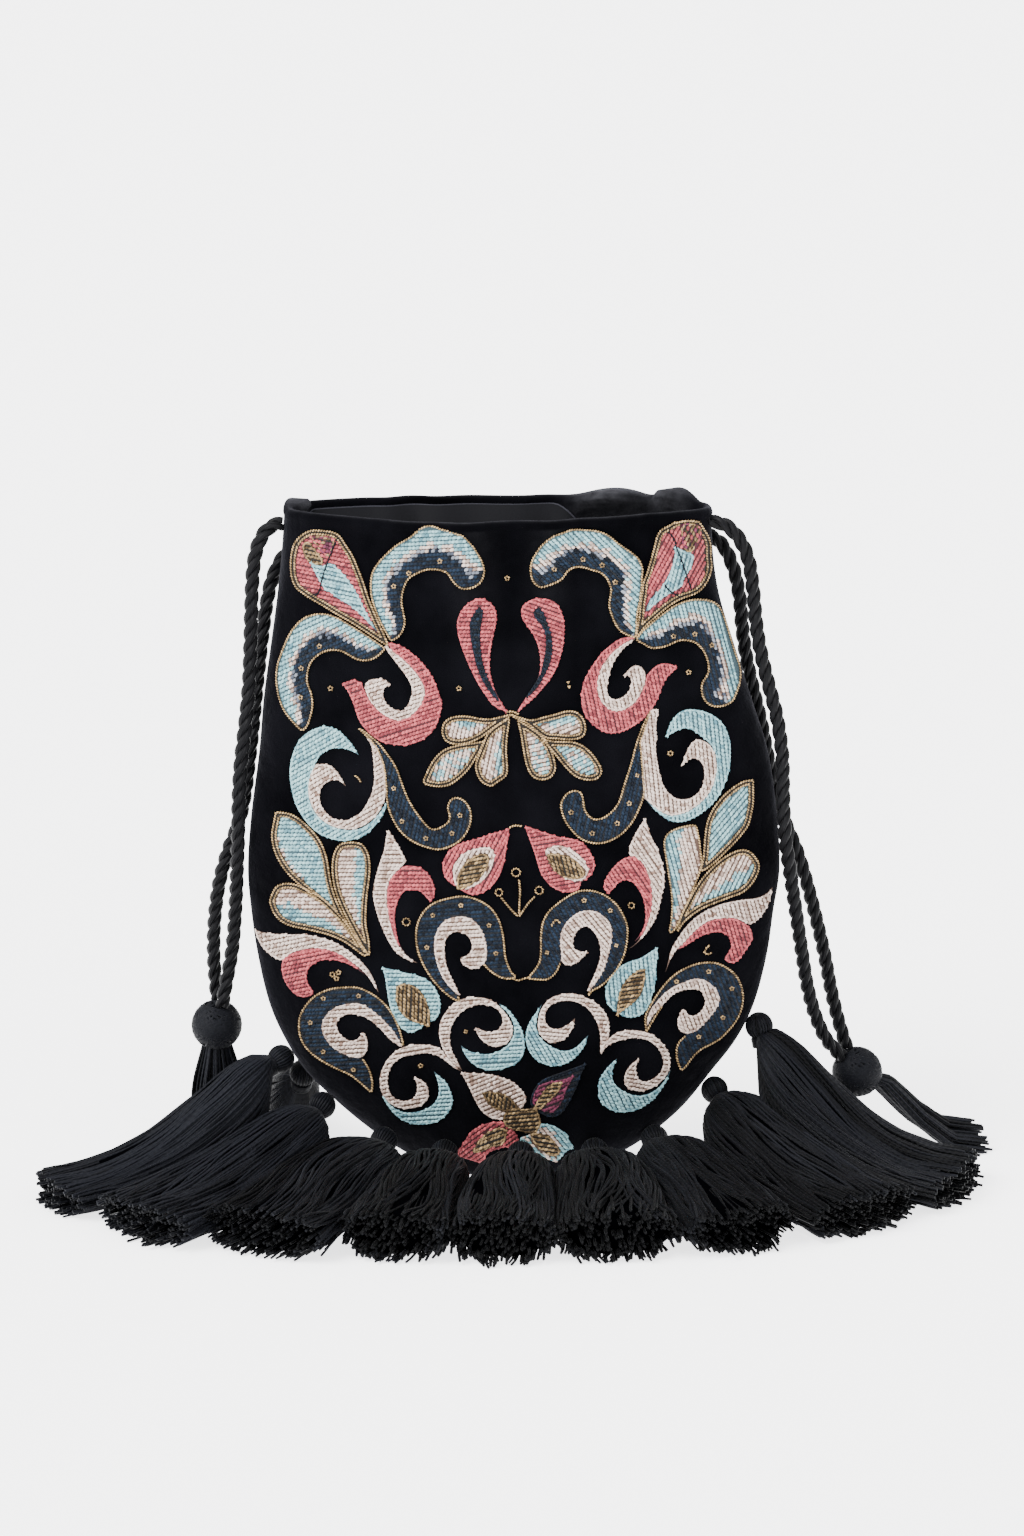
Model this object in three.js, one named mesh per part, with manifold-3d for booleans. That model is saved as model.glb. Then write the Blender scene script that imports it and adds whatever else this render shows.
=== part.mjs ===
// A drawstring evening pouch (reticule): black velvet with a plain lining, twisted drawcords with
// wound ball tassels, and a fringe of thread tassels sewn along the side and bottom seam.
// Millimetres. The front faces -Y, +X runs across it, +Z is up. The origin is the middle of the
// flat base that the pouch stands on.
import * as THREE from 'three';
import { mergeVertices } from 'three/addons/utils/BufferGeometryUtils.js';
import Module from 'manifold-3d';

const wasm = await Module();
wasm.setup();

// Driving sizes
const pouchHeight = 262;
const pouchHalfWidth = 102;
const pouchHalfDepth = 27;
const velvetWall = 2.2;
const restGap = 0.1;
const hemRoll = 0.7;
const liningWall = 1;
const liningDrop = 3.4;
const rimFold = 11;
const gatherDepth = 2;
const clearance = 0.3;
const cordDiameter = 5.6;
const drawBallDiameter = 19;
const drawSkirtLength = 58;
const drawSkirtDiameter = 21;
const tasselHeadDiameter = 10.5;
const tasselNeckDiameter = 8.4;
const tasselNeckLength = 4.6;
const skirtLength = 96;
const skirtShoulder = 5;
const skirtThickness = 20;
const skirtBulge = 5;
const skirtRidge = 1.2;

// Facets
const aroundPouch = 48;
const aroundCord = 8;
const cordStep = 3;
const lockSides = 4;
const locksInDrawTassel = 5;
const aroundSkirt = 20;
const ridgesOnSkirt = 3;
const aroundBall = 8;
const risesOfBall = 6;
const aroundNeck = 6;

// Colours and surfaces
const velvet = new THREE.MeshStandardMaterial({ color: '#0d0d10', roughness: 0.95, metalness: 0 });
const liningCloth = new THREE.MeshStandardMaterial({ color: '#26262b', roughness: 0.8, metalness: 0 });
const cordThread = new THREE.MeshStandardMaterial({ color: '#1b1b1f', roughness: 0.85, metalness: 0 });
const fringeThread = new THREE.MeshStandardMaterial({ color: '#18181c', roughness: 0.75, metalness: 0 });

// Sections of the pouch: up is a share of its height, left and right of its half width, front and
// back of its half depth. square is the power of the rounded section, 2 for an ellipse.
const sections = [
  { up: 0.0, left: 0.27, right: 0.27, front: 0.42, back: 0.42, square: 2.0 },
  { up: 0.012, left: 0.345, right: 0.35, front: 0.52, back: 0.5, square: 2.0 },
  { up: 0.035, left: 0.45, right: 0.455, front: 0.63, back: 0.61, square: 2.0 },
  { up: 0.06, left: 0.54, right: 0.545, front: 0.72, back: 0.7, square: 2.0 },
  { up: 0.1, left: 0.66, right: 0.655, front: 0.82, back: 0.8, square: 2.0 },
  { up: 0.152, left: 0.79, right: 0.757, front: 0.91, back: 0.9, square: 2.0 },
  { up: 0.2, left: 0.866, right: 0.848, front: 0.97, back: 0.96, square: 2.0 },
  { up: 0.255, left: 0.925, right: 0.915, front: 1.0, back: 1.0, square: 2.0 },
  { up: 0.33, left: 0.967, right: 0.962, front: 1.0, back: 1.0, square: 2.0 },
  { up: 0.4, left: 0.99, right: 0.985, front: 0.99, back: 0.99, square: 2.0 },
  { up: 0.46, left: 1.0, right: 1.005, front: 0.97, back: 0.97, square: 2.0 },
  { up: 0.54, left: 0.985, right: 0.993, front: 0.95, back: 0.95, square: 2.0 },
  { up: 0.64, left: 0.95, right: 0.953, front: 0.92, back: 0.92, square: 2.05 },
  { up: 0.72, left: 0.93, right: 0.887, front: 0.9, back: 0.9, square: 2.1 },
  { up: 0.8, left: 0.9, right: 0.82, front: 0.88, back: 0.88, square: 2.2 },
  { up: 0.87, left: 0.874, right: 0.765, front: 0.86, back: 0.86, square: 2.3 },
  { up: 0.93, left: 0.856, right: 0.74, front: 0.84, back: 0.84, square: 2.4 },
  { up: 1.0, left: 0.842, right: 0.73, front: 0.82, back: 0.82, square: 2.5 },
];

// Levels of the rings of the velvet's outer and inner faces and of the lining, as shares of the height
const velvetLevels = [0, 0.012, 0.035, 0.06, 0.1, 0.152, 0.2, 0.245, 0.31, 0.39, 0.48, 0.58, 0.7, 0.82,
  0.9, 0.95, 0.975];
const innerLevels = [0.97, 0.945, 0.9, 0.78, 0.6, 0.4, 0.2, 0.08, 0];
const liningLevels = [0, 0.08, 0.2, 0.4, 0.6, 0.78, 0.9];

// The rim rises and dips: turn is in degrees from the right edge, 90 the middle of the back, 270
// the middle of the front, and lift is a share of the rim fold.
const rimLine = [
  { turn: 0, lift: 0.0 },
  { turn: 45, lift: 0.02 },
  { turn: 90, lift: 0.06 },
  { turn: 140, lift: 0.0 },
  { turn: 180, lift: -0.02 },
  { turn: 225, lift: -0.12 },
  { turn: 255, lift: -0.3 },
  { turn: 275, lift: -0.22 },
  { turn: 315, lift: -0.02 },
  { turn: 360, lift: 0.0 },
];

// Folds of velvet that the drawcord pushes up at the rim: lift raises the rim and push moves the
// inner side inwards, as shares of the rim fold, and drop is how far down it reaches in rim folds.
const rimFolds = [
  { turn: 62, spread: 10, lift: 0.3, push: 0.95, drop: 1.3 },
  { turn: 34, spread: 9, lift: 0.42, push: 0.7, drop: 1.2 },
  { turn: 172, spread: 10, lift: 0.2, push: 0.55, drop: 1.0 },
];

// Soft gathers below the rim: depth is a share of the gather depth, and reach is how far down the
// gather runs as a share of the pouch's height.
const gathers = [
  { turn: 240, spread: 3.75, depth: -0.5, reach: 0.26 },
  { turn: 255, spread: 3.75, depth: -0.6, reach: 0.3 },
  { turn: 262.5, spread: 3.75, depth: 0.6, reach: 0.3 },
  { turn: 270, spread: 3.75, depth: -0.9, reach: 0.34 },
  { turn: 277.5, spread: 3.75, depth: 0.6, reach: 0.3 },
  { turn: 285, spread: 3.75, depth: -0.8, reach: 0.32 },
  { turn: 307.5, spread: 3.75, depth: -0.6, reach: 0.3 },
  { turn: 120, spread: 3.75, depth: -0.8, reach: 0.34 },
  { turn: 112.5, spread: 3.75, depth: 0.7, reach: 0.3 },
  { turn: 105, spread: 3.75, depth: -0.9, reach: 0.36 },
  { turn: 90, spread: 3.75, depth: -0.8, reach: 0.34 },
  { turn: 82.5, spread: 3.75, depth: 0.7, reach: 0.3 },
  { turn: 75, spread: 3.75, depth: -0.8, reach: 0.34 },
];

// Fringe tassels on the seam: turn and up place the head on the velvet, up as a share of the
// pouch's height, and dip is how far the neck points down, from 0, level, to 1. way is the way that
// the skirt runs over the floor, in degrees as turn. run is its length as a share of the skirt's,
// and at the cut ends fan is its width as a share of that length, and thick its thickness as a share
// of the skirt's.
const fringe = [
  { name: 'fringe_tassel_1', turn: 180, up: 0.18, dip: 0.3, way: 211, run: 1.06, fan: 0.44, thick: 0.65 },
  { name: 'fringe_tassel_2', turn: 194, up: 0.12, dip: 0.45, way: 230, run: 1.1, fan: 0.52, thick: 0.8 },
  { name: 'fringe_tassel_3', turn: 216, up: 0.073, dip: 0.3, way: 243, run: 1.04, fan: 0.6, thick: 0.95 },
  { name: 'fringe_tassel_4', turn: 242, up: 0.058, dip: 0.25, way: 258, run: 0.95, fan: 0.5, thick: 1 },
  { name: 'fringe_tassel_5', turn: 273, up: 0.058, dip: 0.25, way: 265, run: 0.93, fan: 0.52, thick: 1 },
  { name: 'fringe_tassel_6', turn: 303, up: 0.06, dip: 0.25, way: 275, run: 0.94, fan: 0.6, thick: 1 },
  { name: 'fringe_tassel_7', turn: 331, up: 0.074, dip: 0.3, way: 290, run: 0.98, fan: 0.52, thick: 0.95 },
  { name: 'fringe_tassel_8', turn: 353, up: 0.138, dip: 0.5, way: 307, run: 1, fan: 0.6, thick: 0.85 },
  { name: 'fringe_tassel_9', turn: 0, up: 0.229, dip: 0.8, way: 334, run: 0.97, fan: 0.64, thick: 0.75 },
  { name: 'fringe_tassel_back', turn: 168, up: 0.15, dip: 0.6, way: 106, run: 0.9, fan: 0.4, thick: 0.75 },
];

// The form of a fringe tassel's skirt at shares of its run: the heights of its top and underside,
// from 0 at the cut ends to 1 at the neck, its width as a share of its width at the cut ends, and
// how much of the bulge rises on its top
const skirtForm = [
  { along: 0, top: 1, under: 1, width: 0.22, bulge: 0 },
  { along: 0.04, top: 0.98, under: 0.62, width: 0.48, bulge: 0.35 },
  { along: 0.14, top: 0.82, under: 0.16, width: 0.68, bulge: 0.85 },
  { along: 0.3, top: 0.52, under: 0, width: 0.79, bulge: 1 },
  { along: 0.52, top: 0.18, under: 0, width: 0.87, bulge: 0.8 },
  { along: 0.76, top: 0.03, under: 0, width: 0.95, bulge: 0.3 },
  { along: 1, top: 0, under: 0, width: 1, bulge: 0 },
];

// The fall of a drawcord tassel's skirt: height as a share of the ball's, at shares of its run
const skirtFall = [
  { along: 0, height: 1 },
  { along: 0.2, height: 0.86 },
  { along: 0.45, height: 0.42 },
  { along: 0.72, height: 0.09 },
  { along: 1, height: 0 },
];

// Drawcord tassels: the ball's centre, and the way that the skirt runs from it
const drawTassels = [
  { name: 'drawcord_tassel_left', x: -116, y: 12, z: 54.5, way: 90, lean: 0.1 },
  { name: 'drawcord_tassel_right', x: 135.5, y: 16, z: 34, way: 16, lean: 0.86 },
];

// Routes of the four drawcord strands, from the casing at the rim down to the ball
const cordRoutes = {
  drawcord_left_front: [
    [-87, -2, 255.2], [-90.6, -3, 254.6], [-94.4, -4, 250.8], [-97, -4, 244], [-98.2, -4, 235.5],
    [-98.9, -4, 223], [-99.4, -4, 210], [-100.2, -4.5, 194], [-101.8, -5.5, 178.5],
    [-103.8, -6.5, 162.5], [-104.7, -7, 148], [-105.1, -6, 136], [-105.9, -3, 123.5],
    [-106.8, 0.5, 110], [-107.9, 3.5, 96.5], [-109.4, 6, 84.5], [-111.4, 7.2, 74.5], [-113.5, 8, 63.3],
  ],
  drawcord_left_back: [
    [-81.2, 11.7, 244], [-83.5, 15.2, 243.4], [-87, 16.2, 240.4], [-90.4, 13.9, 235], [-92.6, 12, 229],
    [-94.3, 10.8, 220.5],
    [-95.8, 10.4, 210], [-97.2, 10.2, 198.5], [-98.6, 9.6, 186], [-100, 8.8, 173], [-101.6, 8, 160],
    [-103.4, 6.8, 147], [-106.2, 6, 136], [-109.9, 6.4, 126.5], [-113.2, 7.8, 115.5],
    [-115.4, 10, 103.5], [-116.6, 12.4, 91], [-116.9, 14.4, 80], [-116.5, 15.6, 71], [-116, 15.6, 64.1],
  ],
  drawcord_right_front: [
    [74.5, -6.5, 256.6], [78.6, -8, 256.2], [82.5, -9, 253.4], [86, -9.6, 248.6], [88.6, -10, 241.5],
    [90.2, -10, 231], [91.4, -10, 219.5], [93.4, -10.2, 207.5], [96.4, -10.6, 195.5],
    [99.7, -11.2, 183], [101.8, -12, 169.5], [102.4, -12.6, 156.5], [102.9, -12.4, 144.5],
    [104.2, -10.8, 132], [106.5, -7.8, 118], [109, -4, 103], [111.5, -0.2, 88], [114.2, 3.6, 73],
    [117.6, 7, 60.5], [122.4, 9.8, 49.5], [129.1, 12.9, 41.1],
  ],
  drawcord_right_back: [
    [69.6, 11.7, 249], [72, 14.9, 248.8], [76, 15.2, 247.4], [80.4, 13, 243.6], [84.2, 11, 235],
    [86.4, 10.4, 224], [87.6, 10.4, 212], [89.6, 10.6, 199.5], [92.6, 10.6, 187],
    [95.6, 10.4, 174.5], [98.2, 10, 161.5], [101, 9.4, 148.5], [105, 8.4, 137], [109.4, 8, 126.5],
    [113, 8.6, 115.5], [116.2, 10.4, 104], [119.3, 12.6, 92], [122.2, 15, 79.5], [124.6, 17.4, 67.5],
    [127.6, 19, 55.5], [131.6, 19.6, 42.5],
  ],
};

const degree = Math.PI / 180;

// A smooth curve through a table's rows, read at one value of its key column
function readTable(table, key, column, at) {
  let i = 0;
  while (i < table.length - 2 && at > table[i + 1][key]) i++;
  const [a, b] = [table[i], table[i + 1]];
  const before = table[Math.max(i - 1, 0)];
  const after = table[Math.min(i + 2, table.length - 1)];
  const span = b[key] - a[key];
  const t = Math.min(Math.max((at - a[key]) / span, 0), 1);
  const slopeA = (b[column] - before[column]) / (b[key] - before[key] || span) * span;
  const slopeB = (after[column] - a[column]) / (after[key] - a[key] || span) * span;
  const [t2, t3] = [t * t, t * t * t];
  return a[column] * (2 * t3 - 3 * t2 + 1) + slopeA * (t3 - 2 * t2 + t)
    + b[column] * (3 * t2 - 2 * t3) + slopeB * (t3 - t2);
}

// How near a turn is to a fold or gather: 1 on its middle and 0 from two spreads away
function nearness(turn, row) {
  const away = Math.abs(((turn - row.turn + 540) % 360) - 180) / row.spread;
  return away > 2 ? 0 : 0.5 + 0.5 * Math.cos(Math.PI * away / 2);
}

const smooth = (t) => {
  const c = Math.min(Math.max(t, 0), 1);
  return c * c * (3 - 2 * c);
};

// The height that the rim has at a turn
function rimHeight(turn) {
  let lift = readTable(rimLine, 'turn', 'lift', turn);
  for (const fold of rimFolds) lift += fold.lift * nearness(turn, fold);
  return pouchHeight + lift * rimFold;
}

// A point of the pouch at a turn and a share of its height, set in from the outer face
function pouchPoint(turn, up, inset) {
  const [c, s] = [Math.cos(turn * degree), Math.sin(turn * degree)];
  const power = 2 / readTable(sections, 'up', 'square', up);
  let halfX = readTable(sections, 'up', c > 0 ? 'right' : 'left', up) * pouchHalfWidth - inset;
  let halfY = readTable(sections, 'up', s > 0 ? 'back' : 'front', up) * pouchHalfDepth - inset;
  for (const g of gathers) {
    halfY += g.depth * gatherDepth * nearness(turn, g) * smooth((up - 1 + g.reach) / g.reach);
  }
  const x = halfX * Math.sign(c) * Math.abs(c) ** power;
  const y = halfY * Math.sign(s) * Math.abs(s) ** power;
  return new THREE.Vector3(x, y, up * pouchHeight);
}

// The outward direction of the velvet's face at a turn and height
function pouchNormal(turn, up) {
  const step = 0.5;
  const rise = 0.004;
  const across = pouchPoint(turn + step, up, 0).sub(pouchPoint(turn - step, up, 0));
  const along = pouchPoint(turn, up + rise, 0).sub(pouchPoint(turn, Math.max(up - rise, 0), 0));
  return across.cross(along).normalize();
}

function turnsOf(count) {
  return Array.from({ length: count }, (_, i) => i * 360 / count);
}

// A closed body from rings of points, each ring with as many points as the next, whose first and
// last rings are closed with a fan, and whose four-sided faces are cut along the shorter way
function loft(rings) {
  const count = rings[0].length;
  const points = rings.flat();
  const faces = [];
  for (let r = 0; r + 1 < rings.length; r++) {
    for (let i = 0; i < count; i++) {
      const [a, b] = [r * count + i, r * count + (i + 1) % count];
      const [c, d] = [b + count, a + count];
      const acrossAC = points[a].distanceTo(points[c]) < points[b].distanceTo(points[d]);
      faces.push(...(acrossAC ? [a, b, c, a, c, d] : [a, b, d, b, c, d]));
    }
  }
  for (const [ring, start, flip] of [[rings[0], 0, true], [rings.at(-1), points.length - count, false]]) {
    const middle = ring.reduce((sum, p) => sum.add(p), new THREE.Vector3()).divideScalar(count);
    const m = points.push(middle) - 1;
    for (let i = 0; i < count; i++) {
      const [a, b] = [start + i, start + (i + 1) % count];
      faces.push(...(flip ? [m, b, a] : [m, a, b]));
    }
  }
  const geometry = new THREE.BufferGeometry();
  geometry.setAttribute('position', new THREE.Float32BufferAttribute(points.flatMap((p) => p.toArray()), 3));
  geometry.setIndex(faces);
  return geometry;
}

function solidOf(geometry) {
  const bare = geometry.clone();
  bare.deleteAttribute('normal');
  bare.deleteAttribute('uv');
  const merged = mergeVertices(bare);
  return new wasm.Manifold(new wasm.Mesh({
    numProp: 3,
    vertProperties: new Float32Array(merged.attributes.position.array),
    triVerts: new Uint32Array(merged.index.array),
  }));
}

function geometryOf(solid) {
  const mesh = solid.getMesh();
  const geometry = new THREE.BufferGeometry();
  geometry.setAttribute('position', new THREE.Float32BufferAttribute(mesh.vertProperties, 3));
  geometry.setIndex(Array.from(mesh.triVerts));
  return geometry;
}

// Joins overlapping closed bodies into one
function fuse(geometries) {
  return wasm.Manifold.union(geometries.map(solidOf));
}

// The velvet bag: outer face from the base up, a rolled hem, and the inner face down to the floor
function velvetPouch() {
  const turns = turnsOf(aroundPouch);
  const stretch = (turn) => rimHeight(turn) / pouchHeight;
  const rings = velvetLevels.map((up) => turns.map((turn) => {
    const p = pouchPoint(turn, up, 0);
    p.z *= 1 + (stretch(turn) - 1) * smooth((up - 0.8) / 0.2);
    return p;
  }));
  const hem = [
    { inset: -hemRoll, below: 2.6 * hemRoll },
    { inset: -hemRoll / 2, below: hemRoll },
    { inset: velvetWall / 2, below: 0 },
    { inset: velvetWall + hemRoll / 2, below: hemRoll },
  ];
  for (const row of hem) {
    rings.push(turns.map((turn) => {
      const p = pouchPoint(turn, 1, row.inset + foldPush(turn, 0) * Number(row.inset > 0));
      p.z = rimHeight(turn) - row.below;
      return p;
    }));
  }
  for (const up of innerLevels) {
    rings.push(turns.map((turn) => {
      const below = (1 - up) * pouchHeight;
      const p = pouchPoint(turn, up, velvetWall + foldPush(turn, below));
      p.z = velvetWall + up * (rimHeight(turn) - velvetWall);
      return p;
    }));
  }
  return loft(rings);
}

// How far a rim fold pushes the inner face inwards, below its top
function foldPush(turn, below) {
  let push = 0;
  for (const fold of rimFolds) {
    push += fold.push * rimFold * nearness(turn, fold) * (1 - smooth(below / (fold.drop * rimFold)));
  }
  return push;
}

// The lining: a thin bag a clearance inside the velvet, cut lower under the rim folds
function liningBag() {
  const turns = turnsOf(aroundPouch);
  const topShare = (turn) => {
    let top = rimHeight(turn) - liningDrop;
    for (const fold of rimFolds) top -= fold.drop * rimFold * Math.min(1, 1.6 * nearness(turn, fold));
    return top / rimHeight(turn);
  };
  const face = (inset, rise) => [...liningLevels, 1].map((level, i) => turns.map((turn) => {
    const up = i < liningLevels.length ? level : topShare(turn);
    const floor = velvetWall + clearance + rise;
    const p = pouchPoint(turn, up, inset + foldPush(turn, (1 - up) * pouchHeight));
    p.z = floor + up * (rimHeight(turn) - floor);
    return p;
  }));
  const outer = velvetWall + 2 * clearance;
  return loft([...face(outer, 0), ...face(outer + liningWall, liningWall).reverse()]);
}

// A round section of a cord
function circleShape(diameter, sides) {
  const corners = Array.from({ length: sides }, (_, i) => {
    const angle = 2 * Math.PI * i / sides;
    return new THREE.Vector2(Math.cos(angle), Math.sin(angle)).multiplyScalar(diameter / 2);
  });
  return new THREE.Shape(corners);
}

function cordStrand(route) {
  const path = new THREE.CatmullRomCurve3(route.map((p) => new THREE.Vector3(...p)));
  const steps = Math.round(path.getLength() / (cordStep * cordDiameter));
  const section = circleShape(cordDiameter, aroundCord);
  return new THREE.ExtrudeGeometry(section, { steps, bevelEnabled: false, extrudePath: path });
}

// One lock of a skirt: a tapering strip along its centre line, its corners out at the full width
function lock(line, widths, thicknesses) {
  const up = new THREE.Vector3(0, 0, 1);
  const rings = line.map((p, i) => {
    const ahead = line[Math.min(i + 1, line.length - 1)].clone();
    const along = ahead.sub(line[Math.max(i - 1, 0)]).normalize();
    const across = new THREE.Vector3().crossVectors(along, up);
    if (across.lengthSq() < 1e-4) across.set(0, 1, 0);
    across.normalize();
    const over = new THREE.Vector3().crossVectors(along, across);
    return Array.from({ length: lockSides }, (_, k) => {
      const angle = 2 * Math.PI * (k + 0.5) / lockSides;
      const corner = 0.5 / Math.cos(Math.PI / lockSides);
      return p.clone()
        .addScaledVector(across, Math.cos(angle) * widths[i] * corner)
        .addScaledVector(over, Math.sin(angle) * thicknesses[i] * corner);
    });
  });
  return loft(rings);
}

// The skirt of a fringe tassel: a full bundle of threads with soft ridges that spreads from the neck,
// falls to the floor and lies on it, grown by a margin on all sides
function skirtBody(start, heading, run, row, margin) {
  const across = new THREE.Vector3(0, 0, 1).cross(heading);
  const floor = restGap - margin;
  const ends = row.thick * skirtThickness;
  const rings = skirtForm.map((form, i) => {
    const last = i === skirtForm.length - 1;
    const along = form.along * run + (i === 0 ? -margin : 0) + (last ? margin : 0);
    const top = ends + form.top * (start.z + skirtShoulder - ends) + form.bulge * skirtBulge + margin;
    const under = floor + form.under * (start.z - tasselNeckDiameter / 2 - floor);
    const width = Math.max(form.width * row.fan * run, tasselNeckDiameter) + 2 * margin;
    return Array.from({ length: aroundSkirt }, (_, k) => {
      const angle = 2 * Math.PI * k / aroundSkirt;
      const side = Math.sign(Math.cos(angle)) * Math.abs(Math.cos(angle)) ** 0.85;
      const rise = Math.sign(Math.sin(angle)) * Math.abs(Math.sin(angle)) ** 0.85;
      const wave = Math.cos(Math.PI * ridgesOnSkirt * side) * Math.max(rise, 0);
      const p = start.clone().addScaledVector(heading, along * (1 - 0.05 * side * side));
      p.addScaledVector(across, side * width / 2);
      p.z = (top + under) / 2 + rise * (top - under) / 2 + skirtRidge * wave * smooth(form.along * 6);
      return p;
    });
  });
  return loft(rings);
}

// A fringe tassel: a wound ball head, a bound neck, and the skirt. Grown by a margin, it is the room
// that its neighbours leave it.
function fringeTassel(row, margin) {
  const radius = tasselHeadDiameter / 2;
  const normal = pouchNormal(row.turn, row.up);
  const head = pouchPoint(row.turn, row.up, 0).addScaledVector(normal, radius + clearance);
  const heading = new THREE.Vector3(Math.cos(row.way * degree), Math.sin(row.way * degree), 0);
  const neckWay = heading.clone().multiplyScalar(1 - row.dip).add(new THREE.Vector3(0, 0, -row.dip));
  neckWay.normalize();
  const neck = head.clone().addScaledVector(neckWay, radius * 0.8 + tasselNeckLength);
  const start = neck.clone().addScaledVector(neckWay, -tasselNeckLength / 2);
  const run = row.run * skirtLength - radius - tasselNeckLength;
  return fuse([
    ballOf(head, tasselHeadDiameter + 2 * margin),
    neckOf(head, neck, tasselNeckDiameter + 2 * margin),
    skirtBody(start, heading, run, row, margin),
  ]);
}

function ballOf(centre, diameter) {
  return new THREE.SphereGeometry(diameter / 2, aroundBall, risesOfBall).translate(...centre.toArray());
}

// A bound neck: a short barrel from inside the head to the top of the skirt
function neckOf(from, to, diameter) {
  const way = to.clone().sub(from);
  const barrel = new THREE.CylinderGeometry(diameter / 2, diameter / 2, way.length(), aroundNeck);
  barrel.translate(0, way.length() / 2, 0);
  const turn = new THREE.Quaternion();
  turn.setFromUnitVectors(new THREE.Vector3(0, 1, 0), way.clone().normalize());
  return barrel.applyQuaternion(turn).translate(...from.toArray());
}

// A drawcord tassel: a wound ball that both strands enter, over a skirt of threads in locks
function drawTassel(row) {
  const centre = new THREE.Vector3(row.x, row.y, row.z);
  const heading = new THREE.Vector3(Math.cos(row.way * degree), Math.sin(row.way * degree), 0);
  const across = new THREE.Vector3(0, 0, 1).cross(heading);
  const bodies = [ballOf(centre, drawBallDiameter)];
  const fallTo = drawSkirtDiameter / 6;
  for (let j = 0; j < locksInDrawTassel; j++) {
    const angle = 2 * Math.PI * j / locksInDrawTassel;
    const [sideways, ahead] = [Math.cos(angle), Math.sin(angle)];
    const line = skirtFall.map((fall) => {
      const low = row.lean > 0.5 ? fall.height : 1 - fall.along;
      const wide = drawSkirtDiameter / 3 * (0.45 + 0.55 * smooth(fall.along * 2));
      const p = centre.clone().addScaledVector(heading, fall.along * row.lean * drawSkirtLength);
      const lying = row.lean > 0.5 ? smooth(fall.along * 1.6) : 0;
      p.addScaledVector(across, wide * sideways * (1 + 0.5 * lying));
      p.addScaledVector(heading, wide * ahead * (1 - lying));
      const lift = wide * ahead * lying * 0.5;
      p.z = fallTo + low * (centre.z - fallTo) + Math.max(lift, 0);
      return p;
    });
    const widths = skirtFall.map((fall) => drawSkirtDiameter * (0.36 + 0.08 * fall.along));
    const thicknesses = skirtFall.map((fall) => drawSkirtDiameter * (0.36 - 0.06 * fall.along));
    bodies.push(lock(line, widths, thicknesses));
  }
  return fuse(bodies);
}

const reticule = new THREE.Group();

function addPiece(name, geometry, material) {
  const mesh = new THREE.Mesh(geometry, material);
  mesh.name = name;
  reticule.add(mesh);
}

addPiece('velvet_pouch', velvetPouch(), velvet);
addPiece('lining', liningBag(), liningCloth);
for (const row of drawTassels) addPiece(row.name, geometryOf(drawTassel(row)), cordThread);
for (const [name, route] of Object.entries(cordRoutes)) addPiece(name, cordStrand(route), cordThread);

// Neighbouring skirts press together, so each gives way to those before it
const placed = [];
for (const row of fringe) {
  const room = placed.length ? [wasm.Manifold.union(placed)] : [];
  addPiece(row.name, geometryOf(wasm.Manifold.difference([fringeTassel(row, 0), ...room])), fringeThread);
  placed.push(fringeTassel(row, 2 * clearance));
}

export default reticule;
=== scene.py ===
"""The looks of the reticule: a black velvet drawstring pouch with embroidery and thread tassels.
Metres, the CAD's own frame: the front faces -Y, +X runs across it, +Z is up, the floor is at 0.
"""

import math

import bpy
import numpy as np
from mathutils import Matrix, Vector
from mathutils.bvhtree import BVHTree
from mathutils.geometry import delaunay_2d_cdt


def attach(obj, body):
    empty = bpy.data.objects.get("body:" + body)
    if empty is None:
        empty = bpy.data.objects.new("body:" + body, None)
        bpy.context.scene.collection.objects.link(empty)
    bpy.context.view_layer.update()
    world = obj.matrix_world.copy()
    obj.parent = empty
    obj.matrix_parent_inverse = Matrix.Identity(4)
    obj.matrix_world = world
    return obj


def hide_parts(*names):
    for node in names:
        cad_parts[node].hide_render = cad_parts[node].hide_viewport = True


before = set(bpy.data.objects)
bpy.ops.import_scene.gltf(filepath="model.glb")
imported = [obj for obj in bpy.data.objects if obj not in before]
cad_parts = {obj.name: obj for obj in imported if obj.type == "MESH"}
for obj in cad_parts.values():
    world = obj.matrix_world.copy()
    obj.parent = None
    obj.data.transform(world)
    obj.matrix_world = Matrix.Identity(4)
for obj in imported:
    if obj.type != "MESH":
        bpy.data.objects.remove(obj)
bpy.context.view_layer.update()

mm = 0.001

# Camera: the photograph's own view, level across the front and 13 degrees down on it, from about
# 1.4 m with a long lens, so that the pouch's sides hardly draw together towards the back.
camera_lens = 90
camera_film = 36
camera_place = Vector((-0.4, -1430.58, 490.66)) * mm
camera_turn = Matrix.Rotation(math.radians(90 - 13), 3, "X")

lens = bpy.data.cameras.new("camera")
lens.lens = camera_lens
lens.sensor_height = camera_film
lens.sensor_fit = "VERTICAL"
camera = bpy.data.objects.new("camera", lens)
camera.location = camera_place
camera.rotation_euler = camera_turn.to_euler()
bpy.context.scene.collection.objects.link(camera)
bpy.context.scene.camera = camera


def named_input(tree, name, kind, value=None):
    """A socket through which a tree takes a value under a plain name."""
    socket = tree.interface.new_socket(name, in_out="INPUT", socket_type=kind)
    if value is not None:
        socket.default_value = value


def node(tree, kind, inputs=None, **settings):
    """Adds a node. Its inputs, by name or number, get a value or another node's output."""
    made = tree.nodes.new(kind)
    for key, value in settings.items():
        setattr(made, key, value)
    for key, value in (inputs or {}).items():
        socket = made.inputs[key]
        if isinstance(value, bpy.types.NodeSocket):
            tree.links.new(value, socket)
        else:
            socket.default_value = value
    return made


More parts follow.
